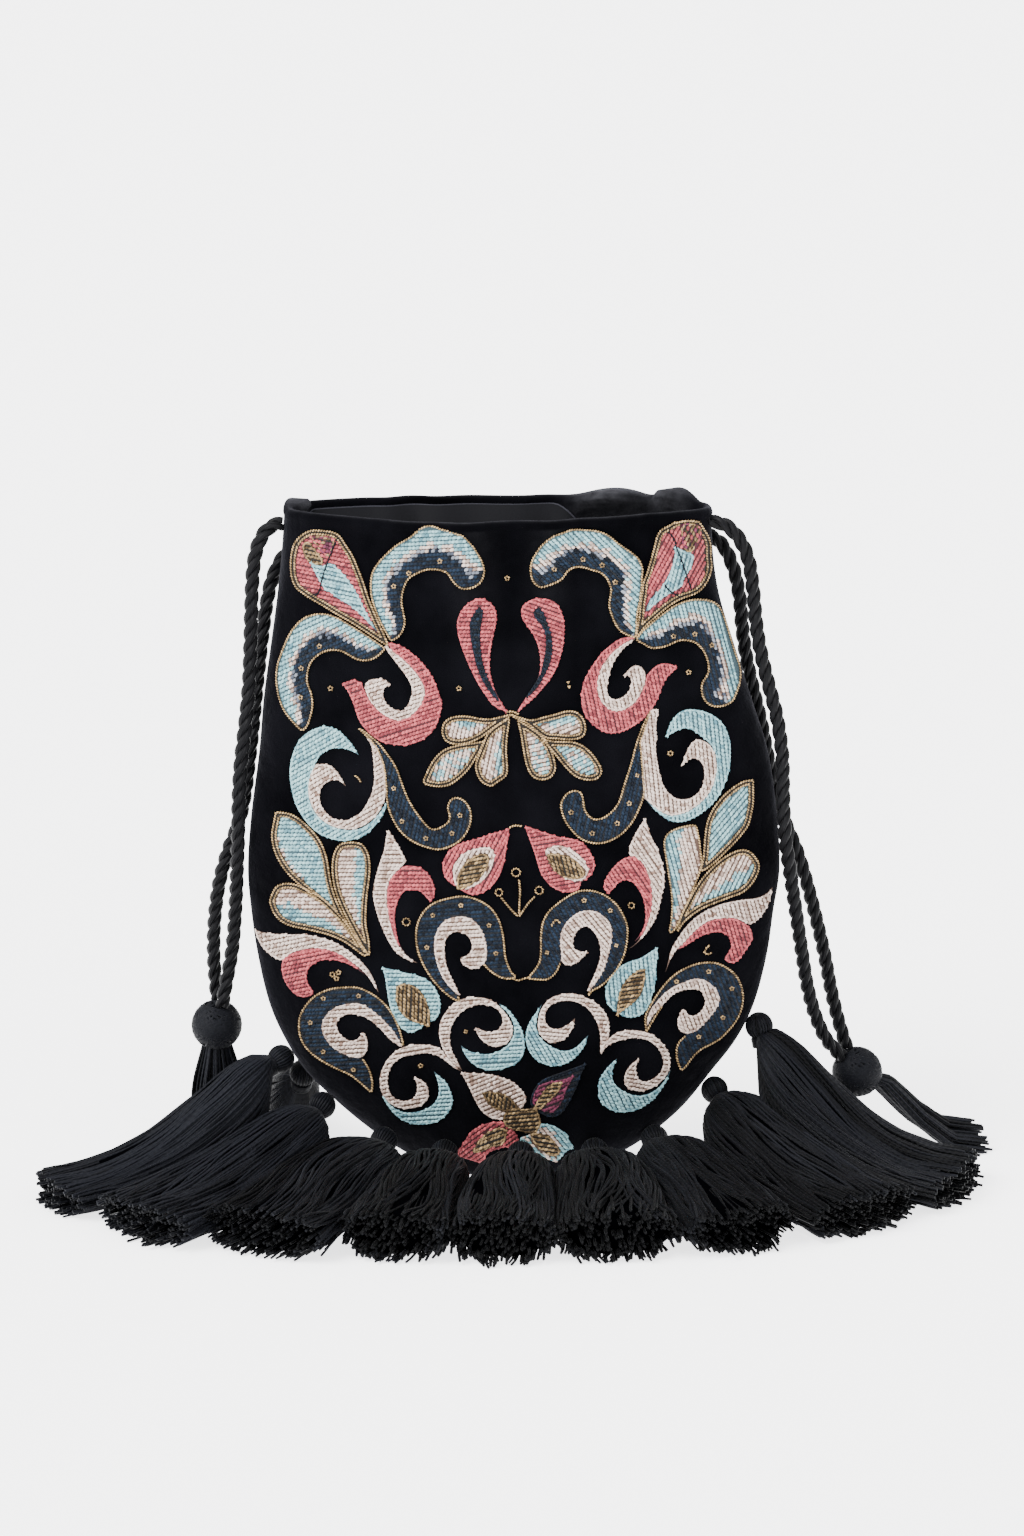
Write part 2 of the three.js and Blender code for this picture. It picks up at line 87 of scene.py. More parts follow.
def srgb(code):
    """The linear colour of an sRGB hex code, as a shader takes it."""
    parts = [int(code[i : i + 2], 16) / 255 for i in (1, 3, 5)]
    return tuple(((c + 0.055) / 1.055) ** 2.4 if c > 0.04045 else c / 12.92 for c in parts) + (1,)


def new_material(name, colour, roughness, **constants):
    """A material with plain constants on its shader; returns it with its tree and shader."""
    material = bpy.data.materials.new(name)
    material.use_nodes = True
    tree = material.node_tree
    shader = tree.nodes["Principled BSDF"]
    shader.inputs["Base Color"].default_value = srgb(colour)
    shader.inputs["Roughness"].default_value = roughness
    for key, value in constants.items():
        shader.inputs[key.replace("_", " ")].default_value = value
    return material, tree, shader


# Floor and light: pale matt paper under a broad soft light from the upper left of the front, with
# a bright room all round, so that shadows stay close and soft.
paper, _, paper_shader = new_material("matt paper", "#F6F6F5", 0.9)
paper_shader.inputs["Emission Color"].default_value = srgb("#F6F6F8")
paper_shader.inputs["Emission Strength"].default_value = 2.6
floor_half = 40
floor_mesh = bpy.data.meshes.new("floor")
floor_mesh.from_pydata(
    [
        (-floor_half, -floor_half, 0), (floor_half, -floor_half, 0),
        (floor_half, floor_half, 0), (-floor_half, floor_half, 0),
    ],
    [],
    [(0, 1, 2, 3)],
)
floor_mesh.materials.append(paper)
floor = bpy.data.objects.new("floor", floor_mesh)
bpy.context.scene.collection.objects.link(floor)

for light_name, strength, spread, tilt, heading in (
    ("key light", 6.5, 40, 46, -58),
    ("fill light", 1.2, 70, 55, 48),
):
    light = bpy.data.lights.new(light_name, "SUN")
    light.energy = strength
    light.angle = math.radians(spread)
    lamp = bpy.data.objects.new(light_name, light)
    lamp.rotation_euler = (math.radians(tilt), 0, math.radians(heading))
    bpy.context.scene.collection.objects.link(lamp)

world = bpy.data.worlds.new("soft room")
world.use_nodes = True
room = world.node_tree.nodes["Background"]
room.inputs["Color"].default_value = srgb("#F4F4F6")
room.inputs["Strength"].default_value = 1.8
bpy.context.scene.world = world

# Drawcords: black silk rope of three plies, 5.6 mm thick, that leaves the casing on both sides of
# the rim and hangs down to a wound ball. The plies make a lobe every 6 mm.
ply_radius = 1.38 * mm
ply_offset = 1.5 * mm
ply_pitch = 17 * mm
plies = 3
route_step = 1.1 * mm

cord_routes = {
    "drawcord_left_front": [
        (-87, -2, 255.2), (-90.6, -3, 254.6), (-94.4, -4, 250.8), (-97, -4, 244), (-98.2, -4, 235.5),
        (-98.9, -4, 223), (-99.4, -4, 210), (-100.2, -4.5, 194), (-101.8, -5.5, 178.5),
        (-103.8, -6.5, 162.5), (-104.7, -7, 148), (-105.1, -6, 136), (-105.9, -3, 123.5),
        (-106.8, 0.5, 110), (-107.9, 3.5, 96.5), (-109.4, 6, 84.5), (-111.4, 7.2, 74.5),
        (-113.5, 8, 63.3),
    ],
    "drawcord_left_back": [
        (-81.2, 11.7, 244), (-83.5, 15.2, 243.4), (-87, 16.2, 240.4), (-90.4, 13.9, 235),
        (-92.6, 12, 229), (-94.3, 10.8, 220.5), (-95.8, 10.4, 210), (-97.2, 10.2, 198.5),
        (-98.6, 9.6, 186), (-100, 8.8, 173), (-101.6, 8, 160), (-103.4, 6.8, 147), (-106.2, 6, 136),
        (-109.9, 6.4, 126.5), (-113.2, 7.8, 115.5), (-115.4, 10, 103.5), (-116.6, 12.4, 91),
        (-116.9, 14.4, 80), (-116.5, 15.6, 71), (-116, 15.6, 64.1),
    ],
    "drawcord_right_front": [
        (74.5, -6.5, 256.6), (78.6, -8, 256.2), (82.5, -9, 253.4), (86, -9.6, 248.6),
        (88.6, -10, 241.5), (90.2, -10, 231), (91.4, -10, 219.5), (93.4, -10.2, 207.5),
        (96.4, -10.6, 195.5), (99.7, -11.2, 183), (101.8, -12, 169.5), (102.4, -12.6, 156.5),
        (102.9, -12.4, 144.5), (104.2, -10.8, 132), (106.5, -7.8, 118), (109, -4, 103),
        (111.5, -0.2, 88), (114.2, 3.6, 73), (117.6, 7, 60.5), (122.4, 9.8, 49.5), (129.1, 12.9, 41.1),
    ],
    "drawcord_right_back": [
        (69.6, 11.7, 249), (72, 14.9, 248.8), (76, 15.2, 247.4), (80.4, 13, 243.6), (84.2, 11, 235),
        (86.4, 10.4, 224), (87.6, 10.4, 212), (89.6, 10.6, 199.5), (92.6, 10.6, 187),
        (95.6, 10.4, 174.5), (98.2, 10, 161.5), (101, 9.4, 148.5), (105, 8.4, 137),
        (109.4, 8, 126.5), (113, 8.6, 115.5), (116.2, 10.4, 104), (119.3, 12.6, 92),
        (122.2, 15, 79.5), (124.6, 17.4, 67.5), (127.6, 19, 55.5), (131.6, 19.6, 42.5),
    ],
}


def smooth_line(corners, per_span, closed=False):
    """Points of a smooth curve through all corners; a corner that is given twice stays sharp."""
    p = np.array(corners, float)
    count = len(p) if closed else len(p) - 1
    found = []
    for i in range(count):
        if closed:
            a, b, c, d = (p[(i + k) % len(p)] for k in (-1, 0, 1, 2))
        else:
            a, b, c, d = (p[min(max(i + k, 0), len(p) - 1)] for k in (-1, 0, 1, 2))
        if np.allclose(b, c):
            continue
        for t in np.arange(per_span) / per_span:
            found.append(
                0.5
                * (
                    2 * b
                    + (c - a) * t
                    + (2 * a - 5 * b + 4 * c - d) * t**2
                    + (3 * b - a - 3 * c + d) * t**3
                )
            )
    if not closed:
        found.append(p[-1])
    return np.array(found)


def even_line(points, step):
    """The same line with points at an even step along it."""
    along = np.concatenate([[0], np.cumsum(np.linalg.norm(np.diff(points, axis=0), axis=1))])
    at = np.linspace(0, along[-1], max(int(round(along[-1] / step)), 1) + 1)
    return np.stack([np.interp(at, along, points[:, k]) for k in range(points.shape[1])], axis=1)


def grown(name, points, edges, tree, material, values, attributes=None):
    """An object whose plain mesh is what a Geometry Nodes tree grows from points and edges."""
    mesh = bpy.data.meshes.new(name)
    mesh.from_pydata([tuple(p) for p in points], edges, [])
    for key, data in (attributes or {}).items():
        data = np.asarray(data, np.float32)
        kind, field = ("FLOAT_VECTOR", "vector") if data.ndim == 2 else ("FLOAT", "value")
        mesh.attributes.new(key, kind, "POINT").data.foreach_set(field, data.ravel())
    made = bpy.data.objects.new(name, mesh)
    bpy.context.scene.collection.objects.link(made)
    modifier = made.modifiers.new("grow", "NODES")
    modifier.node_group = tree
    for item in tree.interface.items_tree:
        if item.item_type == "SOCKET" and item.in_out == "INPUT" and item.name in values:
            modifier[item.identifier] = values[item.name]
        if item.item_type == "SOCKET" and item.name == "Material":
            modifier[item.identifier] = material
    depsgraph = bpy.context.evaluated_depsgraph_get()
    full = bpy.data.meshes.new_from_object(
        made.evaluated_get(depsgraph), preserve_all_data_layers=True, depsgraph=depsgraph
    )
    made.modifiers.remove(modifier)
    made.data = full
    full.name = name
    bpy.data.meshes.remove(mesh)
    return made


def new_tree(name):
    """An empty tree that takes a geometry and a material; returns it with its two end nodes."""
    tree = bpy.data.node_groups.new(name, "GeometryNodeTree")
    tree.interface.new_socket("Geometry", in_out="OUTPUT", socket_type="NodeSocketGeometry")
    named_input(tree, "Geometry", "NodeSocketGeometry")
    named_input(tree, "Material", "NodeSocketMaterial")
    return tree, tree.nodes.new("NodeGroupInput"), tree.nodes.new("NodeGroupOutput")


def finish_tree(tree, source, sink, geometry):
    """Ends a tree: instances made real, smooth faces, and the material."""
    real = node(tree, "GeometryNodeRealizeInstances", {"Geometry": geometry})
    even = node(tree, "GeometryNodeSetShadeSmooth", {"Geometry": real.outputs[0]})
    painted = node(
        tree,
        "GeometryNodeSetMaterial",
        {"Geometry": even.outputs[0], "Material": source.outputs["Material"]},
    )
    tree.links.new(painted.outputs[0], sink.inputs[0])


def tube(tree, curve, radius, sides):
    """A tube round a curve that keeps, for its material, where a point is around and along it."""
    along = node(tree, "GeometryNodeSplineParameter").outputs["Length"]
    kept = node(
        tree,
        "GeometryNodeStoreNamedAttribute",
        {"Geometry": curve, "Name": "along", "Value": along},
        data_type="FLOAT",
        domain="POINT",
    )
    ring = node(
        tree, "GeometryNodeCurvePrimitiveCircle", {"Resolution": sides, "Radius": radius}, mode="RADIUS"
    )
    place = node(tree, "GeometryNodeInputPosition")
    outward = node(tree, "ShaderNodeVectorMath", {0: place.outputs[0]}, operation="NORMALIZE")
    around = node(
        tree,
        "GeometryNodeStoreNamedAttribute",
        {"Geometry": ring.outputs[0], "Name": "around", "Value": outward.outputs[0]},
        data_type="FLOAT_VECTOR",
        domain="POINT",
    )
    made = node(
        tree,
        "GeometryNodeCurveToMesh",
        {"Curve": kept.outputs[0], "Profile Curve": around.outputs[0], "Fill Caps": True},
    )
    return made.outputs[0]


# The cord's tree: the route is doubled once for each ply, and each ply winds round it
cord_tree, source, sink = new_tree("twisted cord")
named_input(cord_tree, "Plies", "NodeSocketInt", 3)
named_input(cord_tree, "Ply radius", "NodeSocketFloat")
named_input(cord_tree, "Ply offset", "NodeSocketFloat")
named_input(cord_tree, "Pitch", "NodeSocketFloat")
line = node(cord_tree, "GeometryNodeMeshToCurve", {"Mesh": source.outputs["Geometry"]})
doubled = node(
    cord_tree,
    "GeometryNodeDuplicateElements",
    {"Geometry": line.outputs[0], "Amount": source.outputs["Plies"]},
    domain="SPLINE",
)
length = node(cord_tree, "GeometryNodeSplineParameter").outputs["Length"]
turns = node(cord_tree, "ShaderNodeMath", {0: length, 1: source.outputs["Pitch"]}, operation="DIVIDE")
first = node(
    cord_tree,
    "ShaderNodeMath",
    {0: doubled.outputs["Duplicate Index"], 1: source.outputs["Plies"]},
    operation="DIVIDE",
)
so_far = node(cord_tree, "ShaderNodeMath", {0: turns.outputs[0], 1: first.outputs[0]}, operation="ADD")
angle = node(cord_tree, "ShaderNodeMath", {0: so_far.outputs[0], 1: 2 * math.pi}, operation="MULTIPLY")
cosine = node(cord_tree, "ShaderNodeMath", {0: angle.outputs[0]}, operation="COSINE")
sine = node(cord_tree, "ShaderNodeMath", {0: angle.outputs[0]}, operation="SINE")
normal = node(cord_tree, "GeometryNodeInputNormal").outputs[0]
tangent = node(cord_tree, "GeometryNodeInputTangent").outputs[0]
side = node(cord_tree, "ShaderNodeVectorMath", {0: tangent, 1: normal}, operation="CROSS_PRODUCT")
by_normal = node(
    cord_tree, "ShaderNodeVectorMath", {0: normal, "Scale": cosine.outputs[0]}, operation="SCALE"
)
by_side = node(
    cord_tree, "ShaderNodeVectorMath", {0: side.outputs[0], "Scale": sine.outputs[0]}, operation="SCALE"
)
outward = node(
    cord_tree, "ShaderNodeVectorMath", {0: by_normal.outputs[0], 1: by_side.outputs[0]}, operation="ADD"
)
offset = node(
    cord_tree,
    "ShaderNodeVectorMath",
    {0: outward.outputs[0], "Scale": source.outputs["Ply offset"]},
    operation="SCALE",
)
wound = node(
    cord_tree,
    "GeometryNodeSetPosition",
    {"Geometry": doubled.outputs["Geometry"], "Offset": offset.outputs[0]},
)
finish_tree(
    cord_tree, source, sink, tube(cord_tree, wound.outputs[0], source.outputs["Ply radius"], 10)
)


def thread_material(name, colour, roughness, strands, lay, bump, tone_share=0.35, **constants):
    """Spun thread: fine strands wind round it as grooves, once in a lay, and each thread has its own
    tone. The grooves are a bump, and a painted shade darkens them by groove_shade."""
    material, tree, shader = new_material(name, colour, roughness, **constants)
    # groove_shade is how much painted shade darkens the grooves between the strands
    groove_shade, groove_depth = 0.3, 0.15 * mm
    around = node(tree, "ShaderNodeAttribute", attribute_name="around")
    parts = node(tree, "ShaderNodeSeparateXYZ", {0: around.outputs["Vector"]})
    angle = node(tree, "ShaderNodeMath", {0: parts.outputs[1], 1: parts.outputs[0]}, operation="ARCTAN2")
    along = node(tree, "ShaderNodeAttribute", attribute_name="along")
    twist = node(
        tree, "ShaderNodeMath", {0: along.outputs["Fac"], 1: 2 * math.pi / lay}, operation="MULTIPLY"
    )
    phase = node(
        tree,
        "ShaderNodeMath",
        {0: angle.outputs[0], 1: strands, 2: twist.outputs[0]},
        operation="MULTIPLY_ADD",
    )
    wave = node(tree, "ShaderNodeMath", {0: phase.outputs[0]}, operation="SINE")
    height = node(tree, "ShaderNodeMath", {0: wave.outputs[0], 1: 0.5, 2: 0.5}, operation="MULTIPLY_ADD")
    bump_or_painted_light = node(
        tree, "ShaderNodeBump", {"Height": height.outputs[0], "Strength": bump, "Distance": groove_depth}
    )
    tree.links.new(bump_or_painted_light.outputs[0], shader.inputs["Normal"])
    # The base colour gets a painted shade in the grooves, and is lighter or darker by each thread's own tone
    darkest = 1 - (groove_shade + tone_share) / 2
    grooved = node(
        tree, "ShaderNodeMath", {0: height.outputs[0], 1: groove_shade, 2: darkest}, operation="MULTIPLY_ADD"
    )
    tone = node(tree, "ShaderNodeAttribute", attribute_name="tone")
    shade = node(
        tree,
        "ShaderNodeMath",
        {0: tone.outputs["Fac"], 1: tone_share, 2: grooved.outputs[0]},
        operation="MULTIPLY_ADD",
    )
    shaded = node(
        tree, "ShaderNodeVectorMath", {0: srgb(colour)[:3], "Scale": shade.outputs[0]}, operation="SCALE"
    )
    tree.links.new(shaded.outputs[0], shader.inputs["Base Color"])
    return material


# Black silk twist: a soft grey gleam along each ply, with the yarns as fine grooves round it
cord_silk = thread_material(
    "black silk twist", "#08080A", 0.5, 9, 6.98 * mm, 0.6, Sheen_Weight=0.03, Sheen_Roughness=0.4,
    Specular_IOR_Level=0.08,
)

cords = {}
cord_lines = {}
for name, route in cord_routes.items():
    route_line = even_line(smooth_line(route, 8) * mm, route_step)
    links = [(i, i + 1) for i in range(len(route_line) - 1)]
    cord = grown(
        name + "_rope",
        route_line,
        links,
        cord_tree,
        cord_silk,
        {"Plies": plies, "Ply radius": ply_radius, "Ply offset": ply_offset, "Pitch": ply_pitch},
        {"tone": np.full(len(route_line), 0.5)},
    )
    cords[name] = cord
    cord_lines[name] = route_line
    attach(cord, "root")
    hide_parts(name)

# Drawcord tassels: a ball wound of the cord's thread, which both strands of a side run into, over
# a plain skirt of threads. The left one hangs on its cords, the right one lies on the floor.
ball_diameter = 19 * mm
ball_windings = 62
winding_thread = 0.62 * mm
draw_skirt_length = 58 * mm
draw_skirt_diameter = 21 * mm
draw_skirt_threads = 190
skirt_thread = 0.52 * mm
skirt_top_share = 0.42
skirt_wave = 0.35 * mm
whole_turn = 6.28
floor_gap = 0.1 * mm

thread_tree, source, sink = new_tree("threads")
named_input(thread_tree, "Radius", "NodeSocketFloat")
named_input(thread_tree, "Sides", "NodeSocketInt", 5)
line = node(thread_tree, "GeometryNodeMeshToCurve", {"Mesh": source.outputs["Geometry"]})
finish_tree(
    thread_tree,
    source,
    sink,
    tube(thread_tree, line.outputs[0], source.outputs["Radius"], source.outputs["Sides"]),
)

# Tassel thread: dull black spun silk, some threads a little paler than their neighbours
tassel_silk = thread_material(
    "black tassel thread", "#0D0E12", 0.5, 2, 2.417 * mm, 0.5, 1.5, Sheen_Weight=0.03,
    Sheen_Roughness=0.45, Specular_IOR_Level=0.06,
)
# The threads deep in a skirt, in a painted shade: near black and without gloss, so that they show only as
# the dark between the outer ones
skirt_shade = new_material("black tassel thread in shade", "#020203", 1.0, Specular_IOR_Level=0.0)[0]


def thread_bundle(name, lines, tones, radius, sides=4):
    """One object of many threads, each a line of points."""
    points = np.concatenate(lines)
    edges, start = [], 0
    for one in lines:
        edges += [(start + i, start + i + 1) for i in range(len(one) - 1)]
        start += len(one)
    shade = np.concatenate([np.full(len(one), tone) for one, tone in zip(lines, tones)])
    return grown(
        name, points, edges, thread_tree, tassel_silk, {"Radius": radius, "Sides": sides}, {"tone": shade}
    )


def ease(t):
    """A smooth step from 0 to 1."""
    c = np.clip(t, 0, 1)
    return c * c * (3 - 2 * c)


def ball_lines(centre, radius, windings, rng):
    """One thread wound over and over round a ball. Its turns creep round and lean over three times."""
    per_turn, creep, leans, unevenness = 24, 0.236, 3, 0.02
    turn = np.arange(windings * per_turn) * 2 * math.pi / per_turn
    tip = turn * creep
    lean = 0.5 * math.pi * (1 - 2 * np.abs((turn / (2 * math.pi) / windings * leans) % 1 - 0.5))
    a = np.stack([np.cos(tip), np.sin(tip), np.zeros_like(tip)], axis=1)
    b = np.stack([-np.sin(tip) * np.cos(lean), np.cos(tip) * np.cos(lean), np.sin(lean)], axis=1)
    lift = 1 + unevenness * rng.random(len(turn))[:, None]
    return centre + radius * lift * (a * np.cos(turn)[:, None] + b * np.sin(turn)[:, None])


def solid_ball(name, centre, radius):
    """A plain ball under the threads."""
    mesh = bpy.data.meshes.new(name)
    rings, around = 12, 20
    points = [tuple(centre + Vector((0, 0, radius)))]
    for r in range(1, rings):
        up = math.pi * r / rings
        for i in range(around):
            turn = 2 * math.pi * i / around
            way = Vector((math.sin(up) * math.cos(turn), math.sin(up) * math.sin(turn), math.cos(up)))
            points.append(tuple(centre + way * radius))
    points.append(tuple(centre - Vector((0, 0, radius))))
    last = len(points) - 1
    faces = []
    for i in range(around):
        j = (i + 1) % around
        faces.append((0, 1 + i, 1 + j))
        faces.append((last, last - 1 - i, last - 1 - j))
        for r in range(rings - 2):
            a = 1 + r * around
            faces.append((a + i, a + around + i, a + around + j, a + j))
    mesh.from_pydata(points, [], faces)
    made = bpy.data.objects.new(name, mesh)
    bpy.context.scene.collection.objects.link(made)
    return made


def joined(name, pieces):
    """Several objects as one, with the materials of each."""
    bpy.ops.object.select_all(action="DESELECT")
    for piece in pieces:
        piece.select_set(True)
    bpy.context.view_layer.objects.active = pieces[0]
    bpy.ops.object.join()
    pieces[0].name = name
    pieces[0].data.name = name
    return pieces[0]


draw_tassels = {
    "drawcord_tassel_left": {"x": -116, "y": 12, "z": 54.5, "heading": 90, "lean": 0.1},
    "drawcord_tassel_right": {"x": 135.5, "y": 16, "z": 34, "heading": 16, "lean": 0.86},
}
skirt_fall = [(0, 1), (0.2, 0.86), (0.45, 0.42), (0.72, 0.09), (1, 0)]
fall_at, fall_height = np.array(skirt_fall).T

for seed, (name, row) in enumerate(draw_tassels.items()):
    rng = np.random.default_rng(40 + seed)
    centre = np.array([row["x"], row["y"], row["z"]]) * mm
    heading = np.array([math.cos(math.radians(row["heading"])), math.sin(math.radians(row["heading"])), 0])
    across = np.array([-heading[1], heading[0], 0])
    lying = row["lean"] > 0.5
    radius = ball_diameter / 2 - winding_thread / 2
    windings = thread_bundle(
        name + "_windings",
        [ball_lines(centre, radius, ball_windings, rng)],
        [0.5],
        winding_thread,
        5,
    )
    core = solid_ball(name + "_core", Vector(centre), radius)
    core.data.materials.append(tassel_silk)
    lowest = floor_gap + skirt_thread
    t = np.linspace(0, 1, 16)
    lines, tones = [], []
    for k in range(draw_skirt_threads):
        angle = 2 * math.pi * rng.random()
        deep = math.sqrt(0.15 + 0.85 * rng.random())
        wide = draw_skirt_diameter / 2 * (skirt_top_share + (1 - skirt_top_share) * ease(t * 1.8)) * deep
        reach = 1 + 0.03 * rng.standard_normal()
        wave = skirt_wave * np.sin(t * (6 + 5 * rng.random()) + whole_turn * rng.random()) * t
        spot = centre + np.outer(t * row["lean"] * draw_skirt_length * reach, heading)
        flat = ease(t * 1.6) if lying else np.zeros_like(t)
        spot = spot + np.outer(wide * math.cos(angle) * (1 + 0.5 * flat) + wave, across)
        spot = spot + np.outer(wide * math.sin(angle) * (1 - flat), heading)
        share = np.interp(t, fall_at, fall_height) if lying else 1 - t * reach
        spot[:, 2] = lowest + share * (centre[2] - lowest)
        spot[:, 2] += flat * np.maximum(wide * math.sin(angle) * 0.75, 0) + 0.4 * flat * wave
        spot[:, 2] = np.maximum(spot[:, 2], lowest)
        lines.append(spot)
        tones.append(rng.random())
    skirt = thread_bundle(name + "_skirt", lines, tones, skirt_thread)
    tassel = joined(name + "_threads", [skirt, windings, core])
    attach(tassel, "root")
    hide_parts(name)

for name, cord in cords.items():
    route_line = cord_lines[name]
    side = "left" if "left" in name else "right"

# Velvet pouch: a flattened bag of soft black velvet, 262 mm tall and 204 mm wide, with a rolled hem,
# folds that the drawcord pushes up at the rim, and soft gathers below it.
pouch_height = 262
pouch_half_width = 102
pouch_half_depth = 27
velvet_wall = 2.2
hem_roll = 0.7
rim_fold = 11
gather_depth = 2
clearance = 0.3
lining_drop = 3.4
lining_wall = 1

# up, left, right, front, back, square, as in the CAD's own table
sections = np.array(
    [
        (0.0, 0.27, 0.27, 0.42, 0.42, 2.0),
        (0.012, 0.345, 0.35, 0.52, 0.5, 2.0),
        (0.035, 0.45, 0.455, 0.63, 0.61, 2.0),
        (0.06, 0.54, 0.545, 0.72, 0.7, 2.0),
        (0.1, 0.66, 0.655, 0.82, 0.8, 2.0),
        (0.152, 0.79, 0.757, 0.91, 0.9, 2.0),
        (0.2, 0.866, 0.848, 0.97, 0.96, 2.0),
        (0.255, 0.925, 0.915, 1.0, 1.0, 2.0),
        (0.33, 0.967, 0.962, 1.0, 1.0, 2.0),
        (0.4, 0.99, 0.985, 0.99, 0.99, 2.0),
        (0.46, 1.0, 1.005, 0.97, 0.97, 2.0),
        (0.54, 0.985, 0.993, 0.95, 0.95, 2.0),
        (0.64, 0.95, 0.953, 0.92, 0.92, 2.05),
        (0.72, 0.93, 0.887, 0.9, 0.9, 2.1),
        (0.8, 0.9, 0.82, 0.88, 0.88, 2.2),
        (0.87, 0.874, 0.765, 0.86, 0.86, 2.3),
        (0.93, 0.856, 0.74, 0.84, 0.84, 2.4),
        (1.0, 0.842, 0.73, 0.82, 0.82, 2.5),
    ]
)
left_column, right_column, front_column, back_column, square_column = range(1, 6)

# turn in degrees from the right edge, lift as a share of the rim fold
rim_line = np.array(
    [
        (0, 0.0), (45, 0.02), (90, 0.06), (140, 0.0), (180, -0.02),
        (225, -0.12), (255, -0.3), (275, -0.22), (315, -0.02), (360, 0.0),
    ]
)

# turn, spread, lift, push, drop
rim_folds = [(62, 10, 0.3, 0.95, 1.3), (34, 9, 0.42, 0.7, 1.2), (172, 10, 0.2, 0.55, 1.0)]

# turn, spread, depth, reach
gathers = [
    (240, 3.75, -0.5, 0.26), (255, 3.75, -0.6, 0.3), (262.5, 3.75, 0.6, 0.3), (270, 3.75, -0.9, 0.34),
    (277.5, 3.75, 0.6, 0.3), (285, 3.75, -0.8, 0.32), (307.5, 3.75, -0.6, 0.3), (120, 3.75, -0.8, 0.34),
    (112.5, 3.75, 0.7, 0.3), (105, 3.75, -0.9, 0.36), (90, 3.75, -0.8, 0.34), (82.5, 3.75, 0.7, 0.3),
    (75, 3.75, -0.8, 0.34),
]


def read_table(table, column, at):
    """A smooth curve through a table's rows, read at values of its first column."""
    at = np.asarray(at, float)
    keys = table[:, 0]
    values = table[:, column]
    i = np.clip(np.searchsorted(keys, at, side="left") - 1, 0, len(keys) - 2)
    before, after = np.maximum(i - 1, 0), np.minimum(i + 2, len(keys) - 1)
    span = keys[i + 1] - keys[i]
    t = np.clip((at - keys[i]) / span, 0, 1)
    slope_a = (values[i + 1] - values[before]) / (keys[i + 1] - keys[before]) * span
    slope_b = (values[after] - values[i]) / (keys[after] - keys[i]) * span
    t2, t3 = t * t, t * t * t
    return (
        values[i] * (2 * t3 - 3 * t2 + 1)
        + slope_a * (t3 - 2 * t2 + t)
        + values[i + 1] * (3 * t2 - 2 * t3)
        + slope_b * (t3 - t2)
    )


def nearness(turn, middle, spread):
    """1 on the middle of a fold or gather, 0 from two spreads away."""
    away = np.abs((turn - middle + 540) % 360 - 180) / spread
    return np.where(away > 2, 0, 0.5 + 0.5 * np.cos(math.pi * away / 2))


def rim_height(turn):
    """The height of the hem's top at a turn, in mm."""
    lift = read_table(rim_line, 1, turn % 360)
    for middle, spread, rise, push, drop in rim_folds:
        lift = lift + rise * nearness(turn, middle, spread)
    return pouch_height + lift * rim_fold


def fold_push(turn, below):
    """How far the rim folds push the inner face inwards, below their top."""
    total = 0
    for middle, spread, rise, push, drop in rim_folds:
        fading = 1 - ease(below / (drop * rim_fold))
        total = total + push * rim_fold * nearness(turn, middle, spread) * fading
    return total


def pouch_point(turn, up, inset):
    """Points of the pouch at turns and shares of its height, set in from the outer face, in mm."""
    turn, up, inset = np.broadcast_arrays(
        np.asarray(turn, float), np.asarray(up, float), np.asarray(inset, float)
    )
    c, s = np.cos(np.radians(turn)), np.sin(np.radians(turn))
    power = 2 / read_table(sections, square_column, up)
    right, left = read_table(sections, right_column, up), read_table(sections, left_column, up)
    back, front = read_table(sections, back_column, up), read_table(sections, front_column, up)
    half_x = np.where(c > 0, right, left) * pouch_half_width - inset
    half_y = np.where(s > 0, back, front) * pouch_half_depth - inset
    for middle, spread, depth, reach in gathers:
        fading = ease((up - 1 + reach) / reach)
        half_y = half_y + depth * gather_depth * nearness(turn, middle, spread) * fading
    x = half_x * np.sign(c) * np.abs(c) ** power
    y = half_y * np.sign(s) * np.abs(s) ** power
    return np.stack([x, y, up * pouch_height], axis=-1)


def pouch_normal(turn, up):
    """The outward direction of the velvet's face at a turn and height."""
    step, rise = 0.5, 0.004
    across = pouch_point(turn + step, up, 0) - pouch_point(turn - step, up, 0)
    along = pouch_point(turn, up + rise, 0) - pouch_point(turn, max(up - rise, 0), 0)
    n = np.cross(across, along)
    return n / np.linalg.norm(n)


def loft(name, rings, material):
    """A closed body from rings of points, the first and last closed with a fan."""
    count = len(rings[0])
    points = np.concatenate(rings) * mm
    faces = []
    for r in range(len(rings) - 1):
        for i in range(count):
            a, b = r * count + i, r * count + (i + 1) % count
            faces.append((a, b, b + count, a + count))
    extra = []
    for start, flip in ((0, True), (len(points) - count, False)):
        extra.append(points[start : start + count].mean(axis=0))
        m = len(points) + len(extra) - 1
        for i in range(count):
            a, b = start + i, start + (i + 1) % count
            faces.append((m, b, a) if flip else (m, a, b))
    mesh = bpy.data.meshes.new(name)
    mesh.from_pydata([tuple(p) for p in np.concatenate([points, extra])], [], faces)
    mesh.materials.append(material)
    mesh.shade_smooth()
    made = bpy.data.objects.new(name, mesh)
    bpy.context.scene.collection.objects.link(made)
    return made
